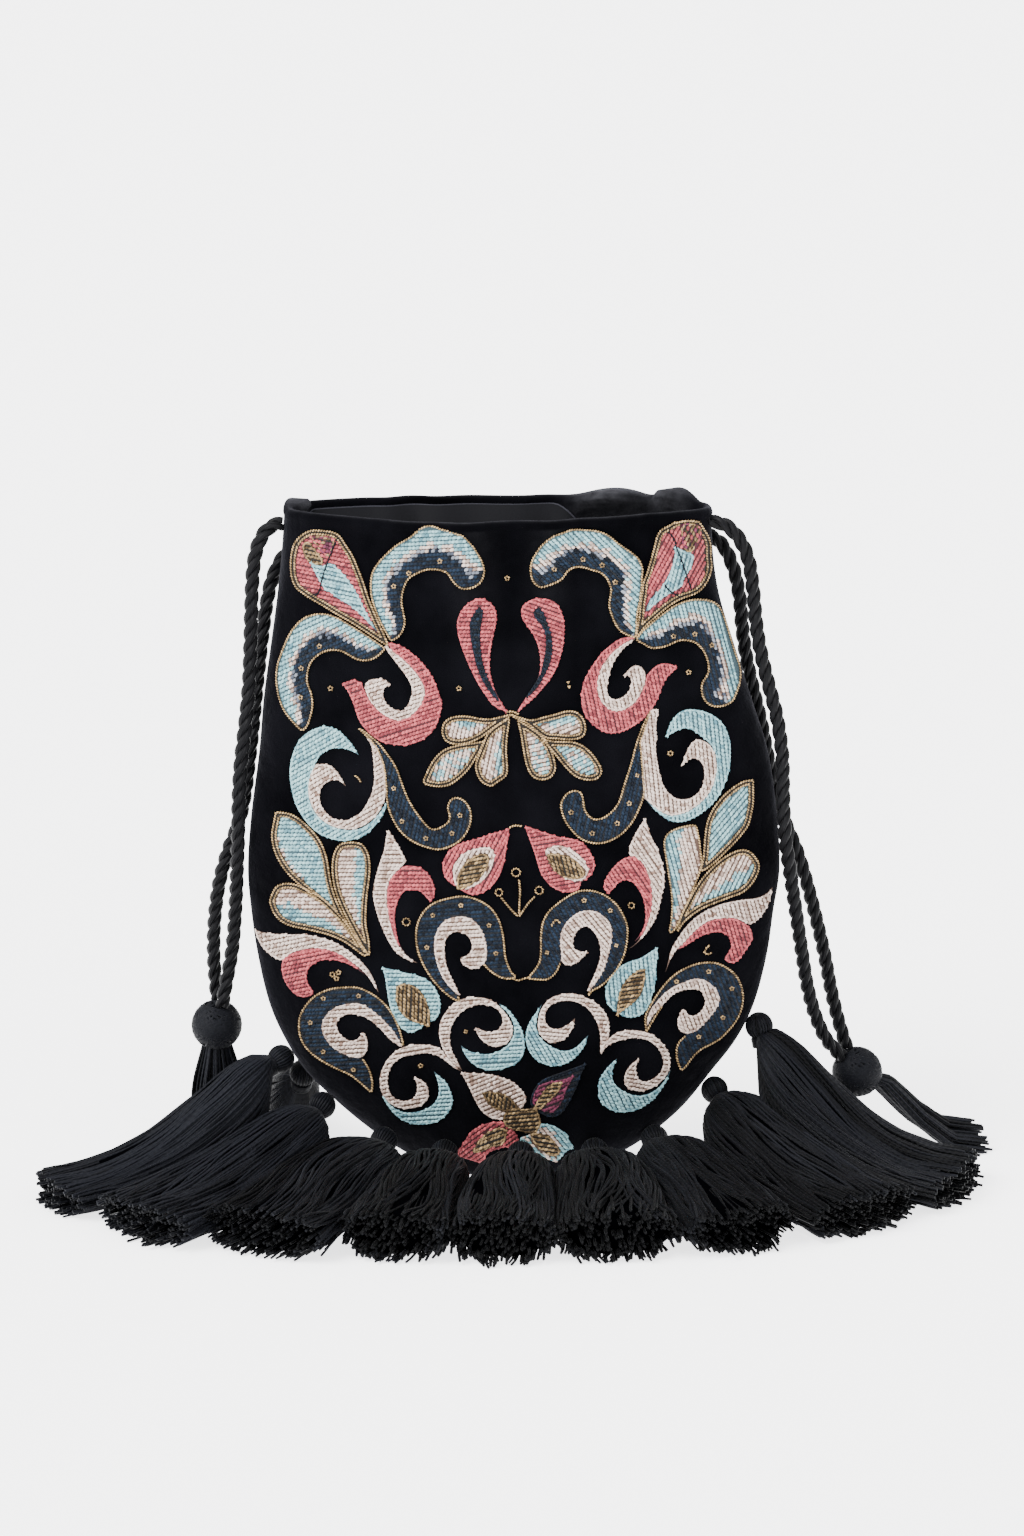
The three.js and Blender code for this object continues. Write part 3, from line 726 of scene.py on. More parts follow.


# Black silk velvet: a deep black pile, a little uneven, whose sheen lightens it to grey where it turns
# away from the eye. A painted light greys it further where it faces up, most on the hem, on the crests
# of the gathers, and in mottles on the folds at the rim. The pile's grain is drawn coarser than the
# real one, so that it shows.
pile_grain = 2 / 3 * mm
brush_mark = 29.4 * mm
light_mottle_size = 3.85 * mm
velvet, velvet_tree, velvet_shader = new_material(
    "black velvet", "#040405", 1.0, Sheen_Weight=0.2, Sheen_Roughness=0.42, Specular_IOR_Level=0.02
)
velvet_shader.inputs["Sheen Tint"].default_value = srgb("#7C7C86")
object_place = node(velvet_tree, "ShaderNodeTexCoord").outputs["Object"]
pile, brushed, light_mottle = (
    node(velvet_tree, "ShaderNodeTexNoise", {"Vector": object_place, "Scale": 1 / size, "Detail": detail})
    for size, detail in ((pile_grain, 3), (brush_mark, 5), (light_mottle_size, 4))
)
pile_tone = node(velvet_tree, "ShaderNodeValToRGB", {"Fac": brushed.outputs[0]})
pile_tone.color_ramp.elements[0].position = 0.35
pile_tone.color_ramp.elements[0].color = srgb("#010102")
pile_tone.color_ramp.elements[1].position = 0.7
pile_tone.color_ramp.elements[1].color = srgb("#07070A")
# The painted light's share, from the pouch: how far the pile is greyed as if lit where it faces up, on
# crests and on folds
bump_or_painted_light = node(velvet_tree, "ShaderNodeAttribute", attribute_name="painted_pile_light").outputs["Fac"]
mottled_painted_light = node(velvet_tree, "ShaderNodeMath", {0: bump_or_painted_light, 1: light_mottle.outputs[0]}, operation="MULTIPLY")
# Painted light: the pile's tone is mixed towards a grey where the mottled painted light's share is high
pile_colour = node(
    velvet_tree,
    "ShaderNodeMix",
    {0: mottled_painted_light.outputs[0], 6: pile_tone.outputs[0], 7: srgb("#434347")},
    data_type="RGBA",
)
velvet_tree.links.new(pile_colour.outputs[2], velvet_shader.inputs["Base Color"])
pile_bump = node(
    velvet_tree, "ShaderNodeBump", {"Height": pile.outputs[0], "Strength": 0.5, "Distance": 0.3 * mm}
)
brushed_bump = node(
    velvet_tree,
    "ShaderNodeBump",
    {
        "Height": brushed.outputs[0],
        "Strength": 0.8,
        "Distance": 6 * mm,
        "Normal": pile_bump.outputs[0],
    },
)
velvet_tree.links.new(brushed_bump.outputs[0], velvet_shader.inputs["Normal"])

around_pouch = 256
# How much painted light greys the pile on the crests of the gathers, on the folds and on the hem
painted_crest_light = 0.14
painted_fold_light = 1
painted_hem_light = 0.5
pouch_turns = np.arange(around_pouch) * 360 / around_pouch
rim_heights = rim_height(pouch_turns)
rings, lights = [], []
for up in np.concatenate([[0, 0.006, 0.012, 0.02], np.linspace(0.03, 0.985, 112)]):
    ring = pouch_point(pouch_turns, up, 0)
    ring[:, 2] *= 1 + (rim_heights / pouch_height - 1) * ease((up - 0.8) / 0.2)
    rings.append(ring)
    # painted light on the crests of the gathers, as if they catch the light
    lights.append(
        painted_crest_light
        * sum(
            max(depth, 0) * nearness(pouch_turns, middle, spread) * ease((up - 1 + reach) / reach)
            for middle, spread, depth, reach in gathers
        )
    )
# Painted light on the rim folds, where the pile would catch the light
painted_light_on_folds = painted_fold_light * sum(
    nearness(pouch_turns, middle, spread) for middle, spread, rise, push, drop in rim_folds
)
hem_middle, hem_half = velvet_wall / 2, velvet_wall / 2 + hem_roll
for turn in np.radians(np.linspace(0, 180, 11)):
    inset = hem_middle - hem_half * math.cos(turn)
    ring = pouch_point(pouch_turns, 1, inset + fold_push(pouch_turns, 0) * float(inset > hem_middle))
    ring[:, 2] = rim_heights - 1.6 * hem_half * (1 - math.sin(turn))
    rings.append(ring)
    lights.append(painted_light_on_folds * (1 - math.cos(turn)) / 2)
for up in (0.97, 0.96, 0.945, 0.925, 0.9, 0.84, 0.78, 0.6, 0.4, 0.2, 0.08, 0):
    inset = velvet_wall + fold_push(pouch_turns, (1 - up) * pouch_height)
    ring = pouch_point(pouch_turns, up, inset)
    ring[:, 2] = velvet_wall + up * (rim_heights - velvet_wall)
    rings.append(ring)
    lights.append(painted_light_on_folds)
pouch = loft("velvet_pouch_cloth", rings, velvet)
# Painted light where the pile faces up, strongest on the hem's top, as if lit from above, added to that on
# the crests and folds
painted_light_values = np.array([painted_hem_light * max(v.normal.z, 0) ** 6 for v in pouch.data.vertices])
painted_light_values[: around_pouch * len(lights)] += np.concatenate(lights)
painted_light_layer = pouch.data.attributes.new("painted_pile_light", "FLOAT", "POINT")
painted_light_layer.data.foreach_set("value", np.clip(painted_light_values, 0, 1).astype(np.float32))
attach(pouch, "root")
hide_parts("velvet_pouch")

# Embroidery on the front: rows of silk stitches in light blue, cream, slate, coral, plum and navy fill
# scrolls, leaves and petals over a thin ground. Twisted gold thread is couched round most of them, in
# one line or two.

# The chart gives each edge in the photograph's own pixels, 1024 by 1536, and every stitch is cast from
# the camera on to the velvet. A corner given twice is sharp. rows is the slope of the stitches, in
# degrees up to the right, and shade makes a field lighter or darker.
photo_size = (1024, 1536)
pixel_slope = camera_film / (photo_size[1] * camera_lens)
velvet_face = BVHTree.FromPolygons(
    [v.co for v in pouch.data.vertices], [tuple(p.vertices) for p in pouch.data.polygons]
)

motifs = {}


def motif(name, rows, bands, edge, inner=None, gold=0, level=0, shade=0.0):
    """A field of stitches. Bands run from its edge to its inner line, as (threads, share) pairs.
    gold is the number of gold lines round it, and level raises it over the fields below it."""
    motifs[name] = {
        "rows": rows, "bands": bands, "edge": edge, "inner": inner,
        "gold": gold, "level": level, "shade": shade,
    }


blue, cream, slate, coral = "blue", "cream", "slate", "coral"
plum, navy, gold_thread = "plum", "navy", "gold"
arc_bands = (
    ((blue,), 0.34), ((blue, cream), 0.4), ((cream,), 0.49), ((slate,), 0.55), ((slate, navy), 0.6),
    ((navy,), 1),
)
one = {thread: (((thread,), 1),) for thread in (blue, cream, coral, plum, navy, gold_thread)}
speckled = (((coral, gold_thread, plum, gold_thread), 1),)

# Left half, from the top down
motif(
    "left tulip", -12, one[coral],
    [(296, 543), (303, 535), (312, 530.5), (322, 530.5), (333, 532), (340, 536), (346, 545), (353, 556),
     (358, 568), (363, 581), (367, 594), (372, 607), (378, 621), (384, 634), (389, 646), (389, 646),
     (378, 639), (366, 631), (352, 622), (338, 614), (325, 606), (313, 599), (304, 593), (297, 587),
     (293, 577), (292, 565), (293, 553)],
    gold=2,
)
motif(
    "left tulip drop", -12, one[blue],
    [(311, 561), (320, 566), (331, 563), (337, 567), (345, 575), (353, 586), (360, 598), (366, 611),
     (372, 622), (378, 632), (378, 632), (368, 622), (358, 612), (348, 604), (338, 598), (330, 592),
     (324, 588), (318, 577), (314, 570)],
    level=1,
)
motif(
    "left tulip patch", -12, one[gold_thread],
    [(303, 545), (309, 541), (316, 549), (322, 557), (324, 563), (318, 565), (310, 562), (305, 556)],
    level=1,
)
motif(
    "left tulip speckles", -12, speckled,
    [(312, 537), (324, 535), (335, 538), (333, 549), (330, 557), (322, 552), (316, 545)], level=1,
)
motif(
    "left upper arc", 3, arc_bands,
    [(391, 640), (387, 633), (381, 622), (376, 610), (372, 597), (371, 585), (372, 575), (375, 568),
     (381, 560), (388, 553), (396, 546), (404, 541), (412, 536), (418, 530), (425, 527), (432, 526.5),
     (440, 529), (448, 531), (456, 532.5), (463, 536), (468, 541), (473, 547), (478, 555), (482, 563),
     (484, 571)],
    [(484, 571), (482, 579), (477, 585), (470, 588), (463, 588.5), (457, 585), (452, 579), (448, 573),
     (441, 570), (432, 569), (424, 570), (416, 573.5), (409, 578), (405, 585), (402.5, 594), (402, 604),
     (404, 614), (405, 622), (403, 630), (399, 636), (393, 640)],
    gold=1,
)
motif(
    "left lower arc", 25, arc_bands,
    [(385, 648), (375, 641), (363, 633), (350, 625), (338, 618), (328, 614.5), (318, 614), (307, 617),
     (299, 623), (292, 632), (287, 642), (283, 652), (279, 664), (277.5, 676), (278, 685), (280, 697),
     (284, 708), (290, 717), (297, 725)],
    [(297, 725), (303, 730), (308, 725), (311, 716), (313, 706), (312, 694), (308, 683), (308, 673),
     (311, 663), (317, 656), (325, 651), (334, 649.5), (343, 651), (350, 655), (358, 659), (367, 660),
     (376, 657), (384, 650)],
    gold=1,
)
motif(
    "left coral drop", 0, one[coral],
    [(480, 598), (471, 601), (463, 608), (458, 618), (457, 628), (460, 642), (465, 656), (471, 670),
     (478, 684), (486, 696), (494, 706), (509, 713), (509, 713), (505, 708), (498, 696), (493, 684),
     (490, 670), (490, 655), (492, 641), (495, 628), (496.5, 616), (494, 607), (488, 601)],
)
motif(
    "left drop sliver", 0, one[navy],
    [(479, 607), (474, 613), (470, 622), (470, 633), (472, 646), (475, 660), (479, 673), (485, 685),
     (492, 695), (500, 703), (500, 703), (494, 690), (488, 678), (483, 664), (481, 650), (480, 636),
     (481, 624), (483, 612)],
    level=1, shade=-0.25,
)
motif(
    "left coral crook", 18, one[coral],
    [(388, 643), (400, 645), (411, 652), (421, 661), (429, 671), (435, 682), (439, 693), (442, 702),
     (441, 712), (437, 724), (430, 734), (420, 741), (408, 745), (398, 745), (385, 743), (375, 738),
     (367, 731), (360, 722), (356, 712), (352, 700), (347, 690), (342, 684), (342, 684), (350, 680.5),
     (356, 680), (362, 683), (364, 688), (368, 697), (374, 706), (383, 714), (395, 720), (407, 718),
     (417, 710), (423, 700), (425, 690), (421, 680), (414, 670), (404, 660), (394, 652)],
)
motif(
    "left cream hook", 18, one[cream],
    [(365, 686), (369, 680), (376, 678.5), (384, 679), (391, 685), (391, 685), (386, 686), (383.5, 691),
     (384, 698), (388, 705), (394, 709), (402, 710.5), (407, 706), (410, 700), (412, 692), (411, 685),
     (406, 676), (398, 665), (388, 652), (385, 645), (394, 651), (404, 660), (414, 670), (421, 680),
     (425, 690), (423, 700), (417, 710), (407, 718), (395, 720), (383, 714), (374, 706), (368, 697)],
)
motif(
    "left blue scroll", 30, one[blue],
    [(359, 755), (359, 755), (353, 745), (347, 738), (341, 732), (334, 728), (325, 726), (316, 728),
     (308, 732), (301, 738), (296, 746), (292, 757), (290, 769), (290.5, 782), (293, 795), (297, 807),
     (303, 817), (310, 826), (320, 834), (332, 839), (345, 841), (358, 838), (370, 831), (379, 821),
     (385, 811), (388, 800), (388, 800), (381, 811), (373, 820), (363, 827), (352, 830), (341, 829),
     (330, 825), (321, 819), (314, 810), (310, 800), (309, 790), (310, 780), (314, 769), (317, 761),
     (321, 755), (328, 750), (336, 748), (344, 748.5), (352, 751)],
)
motif(
    "left cream scroll", 30, one[cream],
    [(346, 786), (346, 786), (341, 777), (336, 770), (330, 765), (323, 763.5), (317, 765), (312, 770),
     (309.5, 778), (308.5, 788), (309.5, 798), (313, 808), (319, 817), (328, 824), (340, 828.5),
     (353, 829), (365, 825), (375, 817), (382, 807), (386, 795), (386, 780), (384, 765), (380, 753),
     (376, 745), (369, 738), (363, 732), (363, 732), (371, 745), (373, 757), (374, 770), (374, 783),
     (371, 795), (366, 805), (360, 813), (352, 818.5), (342, 820), (333, 818), (326, 812), (321, 804),
     (320, 796), (321, 789), (325, 784), (331, 780.5), (338, 780)],
)
motif(
    "left navy hook", 78, one[navy],
    [(359, 728), (359, 728), (366, 732), (373, 738), (380, 744), (386, 752), (392, 760), (397, 769),
     (401, 780), (405, 791), (410, 802), (417, 813), (424, 822), (430, 828), (436, 829), (443, 826),
     (449, 821), (450, 815), (448, 808), (450, 801), (455, 797.5), (462, 799), (468, 805), (471, 814),
     (470, 824), (466, 833), (459, 841), (449, 846.5), (438, 849), (428, 847), (417, 843), (406, 836),
     (398, 827), (392, 816), (388, 804), (387, 792), (386, 779), (384, 765), (380, 753), (373, 742)],
    gold=1,
)
motif(
    "left upper leaf", 0, (((cream,), 0.17), ((blue,), 1)),
    [(277, 812), (275, 822), (273, 835), (275, 848), (280, 860), (288, 872), (298, 882), (310, 892),
     (322, 902), (335, 914), (348, 928), (358, 940), (366, 953)],
    [(366, 953), (357, 940), (349, 925), (341, 910), (335, 896), (331, 882), (329, 870), (327, 858),
     (323, 846), (317, 836), (309, 827), (300, 819), (290, 813.5), (277, 812)],
    gold=2,
)
motif(
    "left middle leaf", 0, (((blue,), 0.42), ((cream,), 1)),
    [(352, 842), (362, 844), (368, 853), (370, 866), (369, 880), (367, 895), (366, 910), (366, 925),
     (369, 940), (370, 955)],
    [(352, 842), (341, 844), (335, 853), (333, 866), (334, 880), (337, 893), (343, 908), (352, 926),
     (361, 942), (369, 955)][::-1],
    gold=2,
)
motif(
    "left lower leaf", 0, (((cream,), 0.55), ((blue,), 1)),
    [(271, 901), (272, 897), (277, 887), (285, 883.5), (295, 884), (305, 888), (316, 894), (328, 902),
     (340, 915), (352, 930), (362, 945), (369, 955)],
    [(271, 901), (272, 905), (276, 914), (283, 921), (293, 925.5), (305, 928), (318, 931), (332, 935),
     (345, 941), (355, 948), (364, 955)][::-1],
    gold=2,
)
motif(
    "left flame cream", 0, one[cream],
    [(388, 830), (388, 830), (392, 835), (397, 843), (402, 852), (406, 861), (402, 866), (395, 873),
     (389, 882), (387, 895), (388, 910), (391, 925), (396, 940), (402, 950), (410, 958), (418, 963),
     (418, 963), (406, 959), (396, 952), (388, 940), (381, 925), (376, 910), (373, 895), (375, 880),
     (379, 865), (384, 850), (386, 838)],
)
motif(
    "left flame coral", 0, one[coral],
    [(404, 866), (413, 865.5), (422, 868), (430, 876), (434, 885), (435, 894), (431, 902), (431, 902),
     (427, 898), (421, 892), (414, 889.5), (407, 890), (401, 895), (397, 904), (395, 915), (396, 928),
     (399, 942), (404, 952), (404, 952), (396, 940), (391, 925), (388, 910), (387, 895), (389, 882),
     (395, 873)],
)
motif(
    "left low flame cream", 12, one[cream],
    [(255, 929), (255, 929), (263, 932), (275, 933.5), (290, 934), (305, 934), (320, 937), (335, 942),
     (348, 950), (360, 960), (369, 970), (375, 982), (379, 993), (379, 993), (370, 979), (362, 970),
     (352, 962), (342, 955), (330, 950), (315, 948), (300, 950), (290, 954), (283, 960), (278, 959),
     (270, 954), (263, 947), (258, 938)],
)
motif(
    "left low flame coral", 12, one[coral],
    [(283, 960), (282, 970), (285, 981), (291, 990), (299, 996), (307, 997), (314, 993), (309, 984),
     (307, 976), (309, 969), (315, 963), (324, 960), (335, 960), (346, 963), (356, 968), (366, 975),
     (366, 975), (352, 962), (342, 955), (330, 950), (315, 948), (300, 950), (290, 954)],
)
motif(
    "left butterfly leaf", 62, one[coral],
    [(509, 828), (509, 828), (500, 831), (489, 834), (478, 838), (467, 841), (456, 845), (449, 851),
     (444, 859), (442.5, 867), (444, 875), (448, 881), (455, 886), (461, 890), (467, 893.5), (474, 895),
     (482, 893), (490, 888), (497, 880), (502, 870), (505, 858), (507, 845), (509, 836)],
)
motif(
    "left butterfly rim", 62, one[cream],
    [(453, 868), (457, 860), (464, 853), (473, 849), (483, 847), (490, 847.5), (494, 851), (494.5, 858),
     (492, 867), (488, 875), (481, 882), (472, 887), (462, 890), (455, 884)],
    level=1,
)
motif(
    "left butterfly almond", 10, one[gold_thread],
    [(457, 889), (457, 880), (459, 872), (463, 865), (470, 858), (478, 854), (485, 853), (489, 857),
     (489, 864), (485, 872), (479, 879), (471, 885), (463, 889)],
    level=2,
)
motif(
    "left centre paisley", 3, one[navy],
    [(460, 896), (449, 898), (438, 901), (428, 907), (421, 916), (417, 927), (416.5, 940), (419, 953),
     (424, 965), (430, 975), (437, 984), (445, 992), (453, 998), (460, 1001), (460, 1001), (457, 994),
     (451, 984), (445, 972), (441, 958), (440, 944), (444, 932), (452, 925), (461, 924), (470, 928),
     (477, 937), (480, 948), (481, 958), (485, 965), (490, 970), (497, 975), (505, 978), (513, 978),
     (513, 978), (516, 976), (512, 973), (508, 965),
     (505, 955), (504, 943), (502, 930), (498, 918), (491, 908), (481, 901), (470, 897)],
    gold=1,
)
motif(
    "left centre crook", 3, one[cream],
    [(459, 916), (449, 918), (441, 924), (436, 933), (434, 944), (435, 955), (438, 967), (443, 978),
     (449, 986), (456, 993), (460, 996), (460, 996), (457, 988), (452, 978), (447, 966), (445, 954),
     (445, 943), (448, 936), (454, 932), (460, 932), (467, 935), (471, 941), (472, 947), (470, 952),
     (465, 956), (460, 957), (460, 957), (462, 963), (467, 967), (474, 968.5), (481, 966), (486, 960),
     (487, 950), (485, 938), (480, 927), (472, 919), (464, 916)],
    level=1,
)
motif(
    "left low paisley", 3, one[navy],
    [(345, 987), (357, 987), (368, 991), (379, 998), (388, 1007), (395, 1018), (400, 1030), (404, 1045),
     (404, 1045), (396, 1038), (386, 1028), (376, 1019), (364, 1012), (352, 1010), (341, 1013),
     (333, 1020), (332, 1031), (340, 1042), (350, 1049), (358, 1052), (367, 1064), (371, 1073),
     (373, 1083), (372, 1092), (372, 1092), (368, 1088), (360, 1081), (351, 1074), (340, 1069),
     (328, 1063), (317, 1056), (308, 1048), (302, 1038), (300, 1027), (301, 1016), (306, 1006),
     (314, 997), (324, 991), (334, 988)],
    gold=1,
)
motif(
    "left low crook", 3, one[cream],
    [(350, 1003), (340, 1005), (331, 1010), (325, 1017), (322, 1026), (324, 1035), (330, 1044),
     (339, 1051), (350, 1056), (360, 1057.5), (366, 1053), (368, 1045), (367, 1037), (363, 1031),
     (363, 1031), (360, 1036), (356, 1039.5), (350, 1040), (344, 1037), (339, 1031), (337, 1024),
     (340, 1018), (346, 1014.5), (354, 1014), (363, 1016), (372, 1021), (381, 1029), (389, 1038),
     (397, 1044), (403, 1047), (403, 1047), (396, 1034), (389, 1025), (380, 1016), (370, 1008),
     (360, 1003)],
    level=1,
)
motif(
    "left blue leaf", 0, one[blue],
    [(382, 967), (382, 967), (392, 969), (404, 972), (417, 975), (428, 980), (436, 989), (440, 1000),
     (440, 1011), (436, 1019), (430, 1022), (424, 1025), (420, 1029), (412, 1032), (404, 1030),
     (397, 1022), (391, 1010), (388, 997), (386, 983), (384, 973)],
)
motif(
    "left blue leaf almond", 88, one[gold_thread],
    [(396, 990), (398, 985), (404, 983), (413, 985), (421, 991), (427, 1001), (430, 1013), (430, 1027),
     (430, 1027), (418, 1023), (408, 1019), (400, 1011), (396, 1000)],
    level=1,
)
motif(
    "left inner ribbon", 5, one[cream],
    [(462, 1070), (462, 1070), (452, 1062), (444, 1051), (440, 1040), (439, 1030), (441, 1020),
     (447, 1010), (455, 1002), (465, 998), (475, 997), (486, 998), (496, 1003), (504, 1011),
     (510, 1020), (513, 1030), (510, 1040), (503, 1045), (495, 1047), (487, 1044), (480, 1038),
     (476, 1031), (475, 1027), (475, 1027), (483, 1030), (490, 1032), (497, 1030), (502, 1024),
     (502, 1017), (498, 1010), (491, 1006), (481, 1004.5), (472, 1006), (463, 1011), (456, 1018),
     (451, 1028), (450, 1040), (452, 1050), (457, 1060)],
)
motif(
    "left inner crescent", 3, one[blue],
    [(461, 1045), (461, 1045), (468, 1050), (478, 1053), (489, 1053.5), (500, 1050), (509, 1043),
     (514, 1032), (512, 1020), (506, 1011), (498, 1003), (498, 1003), (508, 1009), (516, 1019),
     (522, 1030), (524.5, 1041), (524, 1052), (519, 1061), (511, 1066), (500, 1069), (489, 1070),
     (478, 1067), (470, 1061), (464, 1053)],
)
motif(
    "left outer ribbon", 10, one[cream],
    [(461, 1071), (461, 1071), (450, 1060), (440, 1048), (430, 1045), (420, 1044), (410, 1045),
     (400, 1048), (391, 1055), (384, 1065), (380, 1077), (381, 1090), (386, 1099), (393, 1105),
     (401, 1108), (410, 1108), (420, 1106), (427, 1100), (429, 1093), (427, 1085), (421, 1079),
     (414, 1077), (414, 1077), (417, 1084), (417, 1091), (414, 1097), (408, 1100), (400, 1100),
     (393, 1096), (389, 1089), (388, 1079), (390, 1070), (395, 1062), (403, 1057), (412, 1054),
     (423, 1053), (433, 1054), (442, 1058), (451, 1065)],
)
motif(
    "left outer crescent", 3, one[blue],
    [(434, 1071), (434, 1071), (440, 1076), (447, 1083), (451, 1092), (453, 1101), (450, 1110),
     (444, 1117), (436, 1122), (426, 1124), (415, 1124), (405, 1121), (396, 1115), (389, 1107),
     (384, 1098), (382, 1090), (382, 1090), (387, 1100), (394, 1107), (402, 1111), (410, 1112),
     (418, 1111), (427, 1108), (434, 1103), (438, 1096), (439, 1088), (437, 1079)],
)
motif(
    "left spray petal", 76, (((blue,), 0.4), ((cream,), 1)),
    [(511, 714), (500, 717), (490, 719), (480, 718.5), (470, 716.5), (460, 716), (450, 718), (444, 723)],
    [(444, 723), (442.5, 731), (445, 739), (452, 743), (462, 743.5), (472, 741), (482, 736), (490, 730),
     (500, 723), (509, 717)],
    gold=2,
)
motif(
    "left low spray petal", 76, (((blue, cream), 1),),
    [(484, 741), (484, 741), (474, 743), (465, 744), (455, 746), (446, 749), (438, 755), (432, 763),
     (427, 773), (424, 782), (431, 785), (440, 786), (450, 784), (460, 777), (468, 769), (474, 760),
     (480, 750)],
    gold=2,
)
motif(
    "left centre spray petal", 78, (((cream,), 0.6), ((blue,), 1)),
    [(509, 718), (495, 727), (487, 735), (483, 745), (479, 755), (476, 765), (478, 775), (483, 782),
     (491, 786)],
    [(491, 786), (498, 781), (506, 775), (507, 765), (506, 750), (507, 735), (509, 722)],
    gold=2,
)

# Right half: the same figures the other way round, drawn a little smaller at the top
motif(
    "right tulip", 62, one[coral],
    [(668, 526), (675, 522), (684, 520), (692, 520), (698, 522), (703, 530), (707, 537), (709, 546),
     (709, 556), (710, 566), (708, 576), (704, 584), (698, 591), (690, 595), (681, 598), (672, 603),
     (664, 609), (656, 616), (649, 622), (643, 628), (636, 638), (636, 638), (637, 628), (639, 616),
     (640, 604), (642, 592), (643, 582), (646, 575), (649, 566), (652, 556), (655, 545), (657, 537),
     (661, 530)],
    gold=2,
)
motif(
    "right tulip drop", 75, one[blue],
    [(674, 546), (682, 550), (692, 554), (692, 560), (688, 572), (683, 579), (680, 587), (670, 593),
     (660, 600), (653, 606), (645, 613), (645, 613), (648, 603), (655, 594), (662, 586), (667, 577),
     (671, 567), (674, 556)],
    level=1,
)
motif(
    "right tulip speckles", 62, speckled,
    [(681, 524), (690, 523), (698, 525), (701, 533), (697, 541), (693, 550), (688, 553), (683, 548),
     (681, 540)],
    level=1,
)
motif(
    "right upper arc", -45, arc_bands,
    [(635, 637), (636, 628), (636, 620), (637, 611), (639, 602), (640, 594), (641, 586), (641, 578),
     (642, 570), (640, 563), (636, 557), (630, 552), (623, 547), (616, 542), (609, 536), (602, 532.5),
     (594, 530.5), (586, 530), (578, 529.5), (570, 530), (562, 533), (554, 536), (547, 541), (541, 547),
     (537, 553), (533, 560), (531, 568)],
    [(531, 568), (532, 577), (535, 583), (541, 587), (549, 585), (556, 582), (562, 578), (566, 572),
     (571, 568), (578, 566.5), (585, 567.5), (593, 570), (600, 572), (606, 577), (609, 583), (611, 589),
     (610, 597), (609, 606), (612, 616), (616, 625), (621, 631), (628, 635), (634, 637)],
    gold=1,
)
motif(
    "right lower arc", -75, arc_bands,
    [(636, 639), (642, 631), (648, 626), (656, 619), (664, 613), (672, 607), (680, 603), (690, 600),
     (700, 599.5), (709, 601), (716, 605), (720, 611), (723, 619), (726, 628), (729, 638), (732, 648),
     (735, 657), (738, 666), (739, 675), (738, 684), (735, 693), (732, 700), (727, 704)],
    [(727, 704), (721, 706), (713, 706), (707, 703), (703, 698), (701, 690), (702, 682), (706, 676),
     (708, 670), (707, 661), (704, 653), (700, 647), (694, 642), (686, 640), (679, 640), (672, 643),
     (665, 646), (657, 647.5), (650, 647.5), (644, 644), (638, 641)],
    gold=1,
)
motif(
    "right coral drop", -20, one[coral],
    [(534, 598.5), (541, 598), (549, 599), (556, 603), (561, 611), (564, 622), (564, 634), (563, 646),
     (560, 658), (556, 669), (550, 679), (543, 688), (535, 697), (527, 704), (516, 713), (516, 713),
     (524, 700), (531, 690), (537, 680), (540, 669), (540, 657), (538, 646), (534, 636), (528, 627),
     (523, 620), (521, 611), (524, 604)],
)
motif(
    "right drop sliver", -20, one[navy],
    [(538, 607), (534, 611), (535, 617), (540, 623), (544, 630), (546, 640), (545, 652), (543, 663),
     (540, 674), (535, 683), (529, 692), (524, 700), (524, 700), (531, 694), (538, 686), (544, 676),
     (549, 665), (552, 653), (552, 641), (550, 630), (546, 619), (543, 611)],
    level=1, shade=-0.25,
)
motif(
    "right coral crook", -78, one[coral],
    [(634, 637), (625, 637), (617, 640), (609, 646), (602, 652), (596, 660), (590, 669), (585, 678),
     (582, 688), (581, 698), (582, 708), (586, 717), (592, 724), (600, 730), (608, 733), (617, 733),
     (626, 730), (635, 725), (643, 719), (650, 711), (656, 702), (660, 692), (664, 682), (669, 675),
     (678, 667), (678, 667), (671, 664), (664, 663), (657, 665), (651, 670), (646, 676), (645, 682),
     (643, 688), (639, 696), (634, 703), (627, 708), (619, 711), (611, 710), (604, 705), (599, 697),
     (597, 688), (598, 677), (602, 666), (608, 657), (616, 649), (624, 643)],
)
motif(
    "right cream hook", -78, one[cream],
    [(636, 638), (624, 643), (616, 649), (608, 657), (602, 666), (598, 677), (597, 688), (599, 697),
     (604, 705), (611, 710), (619, 711), (627, 708), (634, 703), (639, 696), (643, 688), (645, 680),
     (645, 672), (641, 667), (636, 665), (631, 667), (626, 672), (623, 676), (623, 676), (629, 676),
     (631, 681), (630, 688), (626, 694), (620, 698), (614, 699), (609, 696), (607, 689), (608, 680),
     (610, 672), (613, 663), (618, 655), (625, 647)],
)
motif(
    "right blue scroll", -84, one[blue],
    [(666, 737), (666, 737), (668, 728), (672, 720), (678, 713), (685, 709.5), (692, 709), (700, 710),
     (709, 713), (717, 718), (723, 724), (727, 732), (730, 742), (730.5, 752), (730, 763), (728, 774),
     (724, 785), (719, 795), (712, 804), (704, 811), (695, 817), (686, 821), (676, 822), (668, 820),
     (660, 814), (652, 807), (645, 799), (645, 799), (652, 805), (660, 811), (668, 815), (676, 814.5),
     (686, 812), (696, 806), (704, 799), (710, 791), (714, 781), (716, 770), (716, 760), (714, 751),
     (709, 743), (703, 738), (697, 733), (692, 730), (685, 728), (678, 730), (672, 733)],
)
